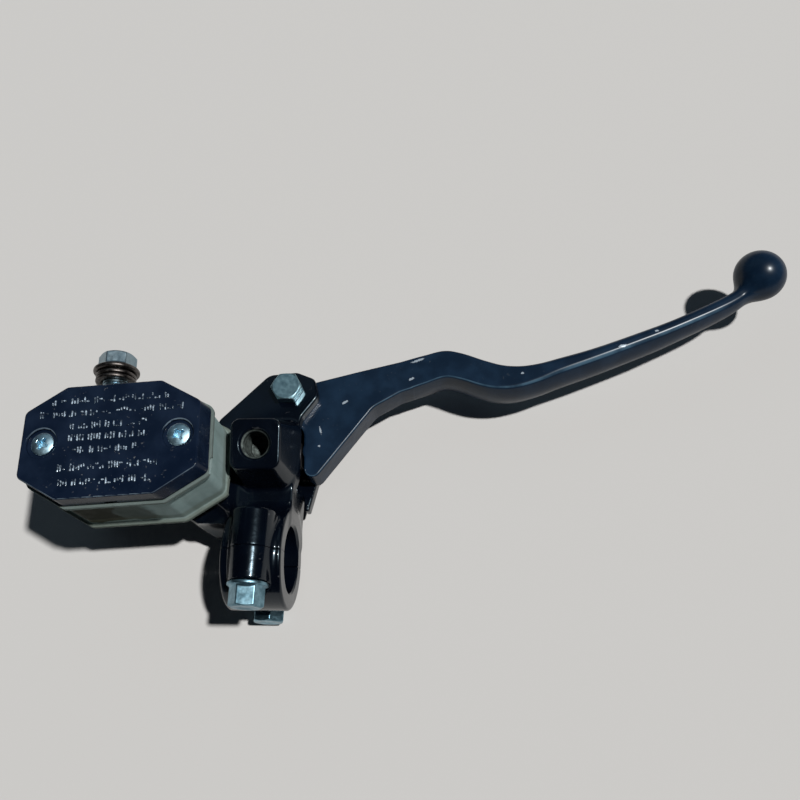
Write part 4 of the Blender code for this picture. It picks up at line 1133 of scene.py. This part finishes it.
for side, at, turn in (("left", -CAP_SCREW_X, 1.15), ("right", CAP_SCREW_X, 0.6)):
    seat = (*from_barrel(at + TANK_CENTRE[0], TANK_CENTRE[1]), SEAT)
    carve(
        f"lid_screw_{side}", lid_screw_field, around(4, -18.6, 1.2), 0.15,
        BRIGHT_ZINC, "zinc_steel", f"cap_screw_{side}",
        place=place_at(seat, (0, 0, 1), (cos(turn), sin(turn), 0)),
    )


def line_bolt_field(x, y, z):
    """Local z runs out of the port; z = 0 is the flange's seat."""
    r = hypot(x, y)
    flange = slab(r - 6.9, z, 0.3, 2.2, 0.3)
    skirt = maximum((r - 6.8 + (z - 2.0) * 1.4) * 0.58, abs(z - 2.4) - 0.6)
    head = hex_head(x, y, z, 12.4, 1, 7.75, turn=radians(17))
    shape = blend_min(blend_min(flange, skirt, 0.6), head, 0.7)
    shank = threaded(x, y, z, 4.7, 1.0, 0.6, -19, 0.5)
    plain = slab(r - 4.5, z, -5, 0.5, 0.2)
    shape = cut(minimum(minimum(shape, shank), plain), r - 1.8, z + 5)
    return cut(shape, hypot(y, z + 8) - 1.4, abs(x) - 8)


def ring_field(outer, thick, edge, inner=5.0):
    def field(x, y, z):
        r = hypot(x, y)
        return slab(abs(r - (inner + outer) / 2) - (outer - inner) / 2, z, 0, thick, edge)

    return field


PORT_ALONG = (-sin(BARREL_YAW), cos(BARREL_YAW), 0)
PORT_ACROSS = (cos(BARREL_YAW), sin(BARREL_YAW), 0)
WASHER = ring_field(7.5, 1.6, 0.6), around(8, -0.4, 2), WASHER_METAL, "washer_metal"
COLLAR = ring_field(8.6, 2.0, 0.9), around(9, -0.4, 2.4), WASHER_METAL, "washer_metal"
BANJO = line_bolt_field, around(9, -19.6, 8.2), DULL_ZINC, "zinc_steel"
# Name, place along the port, what it is, and the CAD node it replaces.
for name, at, (field, box, metal, slot), *replaced in (
    ("line_bolt", 38.4, BANJO, "banjo_bolt"),
    ("line_bolt_collar", 38.4, COLLAR),
    ("line_washer_outer", 36.5, WASHER, "banjo_washer_outer"),
    ("line_washer_inner", 34.6, WASHER, "banjo_washer_inner"),
):
    place = place_at((*from_barrel(PORT_X, at), BARREL_Z), PORT_ALONG, PORT_ACROSS)
    carve(name, field, box, 0.2, metal, slot, *replaced, place=place)

# ---- turned pieces


def lathe(
    name, profile, material, body, slot, place, *nodes, sides=72, wind=None, closed=False, angle=30
):
    """Profile of (radius, z) turned about local Z. wind shifts a radius by angle and z."""
    shape = bmesh.new()
    rings = []
    for radius, z in profile:
        points = []
        for i in range(sides):
            a = 2 * pi * i / sides
            r = wind(radius, z, a) if wind else radius
            points.append(vertex_at(shape, place, (r * cos(a), r * sin(a), z)))
        rings.append(points)
    bridge(shape, rings, closed)
    return add(name, mesh_of(name, shape, angle), material, body, slot, *nodes)


THREAD_PITCH = 1.25
THREAD_DEPTH = 0.62
THREAD_TOP, THREAD_END = -1.4, -12.6


def mirror_thread(radius, z, a):
    """Winds the liner's inner wall into a thread that fades out at both ends."""
    if radius > 4.5 or z > THREAD_TOP or z < THREAD_END:
        return radius
    phase = z / THREAD_PITCH - a / (2 * pi)
    wave = abs(phase - round(phase)) * 2
    fade = min(1.0, (THREAD_TOP - z) / 0.5, (z - THREAD_END) / 0.8)
    return radius + THREAD_DEPTH * fade * min(1.0, max(0.0, wave * 1.25 - 0.12))


liner = [(5.2, -15.4), (5.2, -1.35), (5.15, -1.25), (4.6, -1.25), (4.35, THREAD_TOP)]
liner += [(4.35, THREAD_TOP - 0.11 * i) for i in range(1, 103)]
liner += [(4.3, -12.8), (2.2, -13.9), (0.3, -14.9)]
mirror_place = place_at(MIRROR_TOP, (0, -sin(MIRROR_TILT), cos(MIRROR_TILT)))
lathe(
    "mirror_hole_thread", liner, THREAD_METAL, "body", "turned_aluminium", mirror_place,
    sides=96, wind=mirror_thread, angle=35,
)

axis_place = place_at((*BARREL_AT, BARREL_Z), PORT_ACROSS, (0, 0, 1))
BOOT_ROOT, BOOT_TIP = -7.5, 3.0


def on_axis(u):
    """A point on the barrel's axis, in metres."""
    return Vector((*from_barrel(u, 0), BARREL_Z)) * MM


pleats = [(4.95, BOOT_TIP), (5.15, BOOT_TIP + 0.15), (5.35, BOOT_TIP)]
for fold in range(5):
    at = BOOT_TIP - 0.7 - 1.75 * fold
    pleats += [
        (5.0, at), (5.2 + 0.09 * fold, at - 0.35), (5.5 + 0.1 * fold, at - 0.9),
        (5.3 + 0.1 * fold, at - 1.3),
    ]
boot = pleats + [
    (5.9, -6.35), (6.6, -6.1), (7.05, -6.4), (7.1, -7.0), (7.0, -10.1), (5.7, -10.1), (5.1, -8.0),
    (4.9, -6.0), (4.9, -3.0), (4.9, 0.0),
]
rubber_boot = lathe(
    "boot", boot, RUBBER, None, "rubber", axis_place, "dust_boot", closed=True, angle=50,
)
boot_from = on_axis(BOOT_ROOT)
boot_to = on_axis(BOOT_TIP)
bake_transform(rubber_boot)
piston = [
    (2.5, -48.6), (2.5, -43.2), (6.0, -43.2), (6.05, -43.1), (6.05, -40.9), (4, -40.1), (4, -22.6),
    (6.05, -21.8), (6.05, -19.8), (6.0, -19.7), (4, -19.7), (4, -16.6), (6.0, -16.6), (6.05, -16.5),
    (6.05, -13.95), (5.95, -13.9), (4.8, -13.9), (4.8, 3.3), (4.65, 3.65), (4.3, 3.95), (3.9, 4.1),
    (1.4, 4.1), (0.9, 3.6), (0.2, 3.2),
]
lathe("plunger", piston, PLUNGER_METAL, "piston", "turned_aluminium", axis_place, "piston", angle=40)
SPRING_ENDS = (-73.1, -48.7)
SPRING_RADIUS, SPRING_WIRE, SPRING_TURNS = 4.7, 0.55, 9
WIRE_SIDES, WIRE_STEPS = 10, 28


def spring(name, material, slot, *nodes):
    """Wire wound along the barrel, its two ends closed."""
    shape = bmesh.new()
    steps = SPRING_TURNS * WIRE_STEPS
    pitch = (SPRING_ENDS[1] - SPRING_ENDS[0]) / SPRING_TURNS
    rings = []
    for step in range(steps + 1):
        a = 2 * pi * SPRING_TURNS * step / steps
        along = SPRING_ENDS[0] + pitch * a / (2 * pi)
        ring = []
        for side in range(WIRE_SIDES):
            b = 2 * pi * side / WIRE_SIDES
            r = SPRING_RADIUS + SPRING_WIRE * cos(b)
            point = (r * cos(a), r * sin(a), along + SPRING_WIRE * sin(b))
            ring.append(vertex_at(shape, axis_place, point))
        rings.append(ring)
    bridge(shape, rings)
    return add(name, mesh_of(name, shape, 50), material, None, slot, *nodes)


coil = spring("coil_spring", SPRING_STEEL, "spring_steel", "return_spring")
coil_from = on_axis(SPRING_ENDS[0])
coil_to = on_axis(SPRING_ENDS[1])
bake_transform(coil)
bush = [(4.3, -9.45), (5.1, -9.45), (5.2, -9.35), (5.2, 1.25), (5.1, 1.38), (4.35, 1.38), (4.3, 1.3)]
lathe("lever_bush", bush, BRONZE, "lever", "bronze", PIVOT_PLACE, "pivot_bush", closed=True)

# ---- carried-over CAD nodes

KEPT = {
    "spring_seat": SPRING_STEEL, "stop_washer": SPRING_STEEL,
    "circlip": SPRING_STEEL, "primary_cup": RUBBER, "secondary_cup": RUBBER, "spigot_seal": RUBBER,
    "diaphragm": RUBBER, "diaphragm_plate": WHITE_PLASTIC, "port_baffle": WHITE_PLASTIC,
    "reservoir_screw_left": ZINC, "reservoir_screw_right": ZINC,
}
for name, material in KEPT.items():
    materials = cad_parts[name].data.materials
    materials.clear()
    materials.append(material)

# ---- floor and light

FLOOR_Z = cad_box[0][2] - 0.0002
FLOOR_TONE = (0.57, 0.565, 0.555, 1)
KEY_FROM, KEY_POWER, KEY_COLOUR = (0.472, 0.008, 1.0), 3.55, (1.0, 0.985, 0.965)
SKY_AT, SKY_AIM, SKY_SIZE = (-0.35, 0.9, 1.0), (0.05, 0.04, 0.0), (1.2, 0.8)
SKY_POWER, SKY_COLOUR = 0.6, (0.60, 0.84, 1.0)
BACKDROP_TONE, BACKDROP_LIGHT, BACKDROP_POWER = (0.60, 0.60, 0.59, 1), (0.55, 0.72, 1.0, 1), 0.02

shape = bmesh.new()
bmesh.ops.create_grid(shape, x_segments=2, y_segments=2, size=4)
mesh = bpy.data.meshes.new("floor")
shape.to_mesh(mesh)
shape.free()
floor = new_object("floor", mesh)
floor.location.z = FLOOR_Z
paper = bpy.data.materials.new("floor")
paper.use_nodes = True
shader = paper.node_tree.nodes["Principled BSDF"]
shader.inputs["Base Color"].default_value = FLOOR_TONE
shader.inputs["Roughness"].default_value = 0.9
mesh.materials.append(paper)
floor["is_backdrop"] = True

key = new_object("key", bpy.data.lights.new("key", "SUN"))
key.data.energy = KEY_POWER
key.data.angle = radians(2.6)
key.data.color = KEY_COLOUR
key.rotation_euler = Vector(KEY_FROM).to_track_quat("Z", "Y").to_euler()
sky = new_object("sky", bpy.data.lights.new("sky", "AREA"))
sky.data.shape = "RECTANGLE"
sky.data.size, sky.data.size_y = SKY_SIZE
sky.data.energy = SKY_POWER
sky.data.color = SKY_COLOUR
sky.location = SKY_AT
sky.rotation_euler = (Vector(SKY_AIM) - Vector(SKY_AT)).to_track_quat("-Z", "Y").to_euler()

# The world is pale where the camera sees it and dim as a light.
world = bpy.data.worlds.new("studio")
world.use_nodes = True
tree = world.node_tree
seen = tree.nodes["Background"]
seen.inputs["Color"].default_value = BACKDROP_TONE
dim = tree.nodes.new("ShaderNodeBackground")
dim.inputs["Color"].default_value = BACKDROP_LIGHT
dim.inputs["Strength"].default_value = BACKDROP_POWER
either = tree.nodes.new("ShaderNodeMixShader")
ray = tree.nodes.new("ShaderNodeLightPath")
for source, socket in (
    (ray.outputs["Is Camera Ray"], either.inputs["Fac"]),
    (dim.outputs["Background"], either.inputs[1]), (seen.outputs["Background"], either.inputs[2]),
    (either.outputs["Shader"], tree.nodes["World Output"].inputs["Surface"]),
):
    tree.links.new(source, socket)
SCENE.world = world
SCENE.view_settings.view_transform = "Standard"

{"cad": [list(c) for c in cad_box], "visual": [list(c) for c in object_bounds()]}
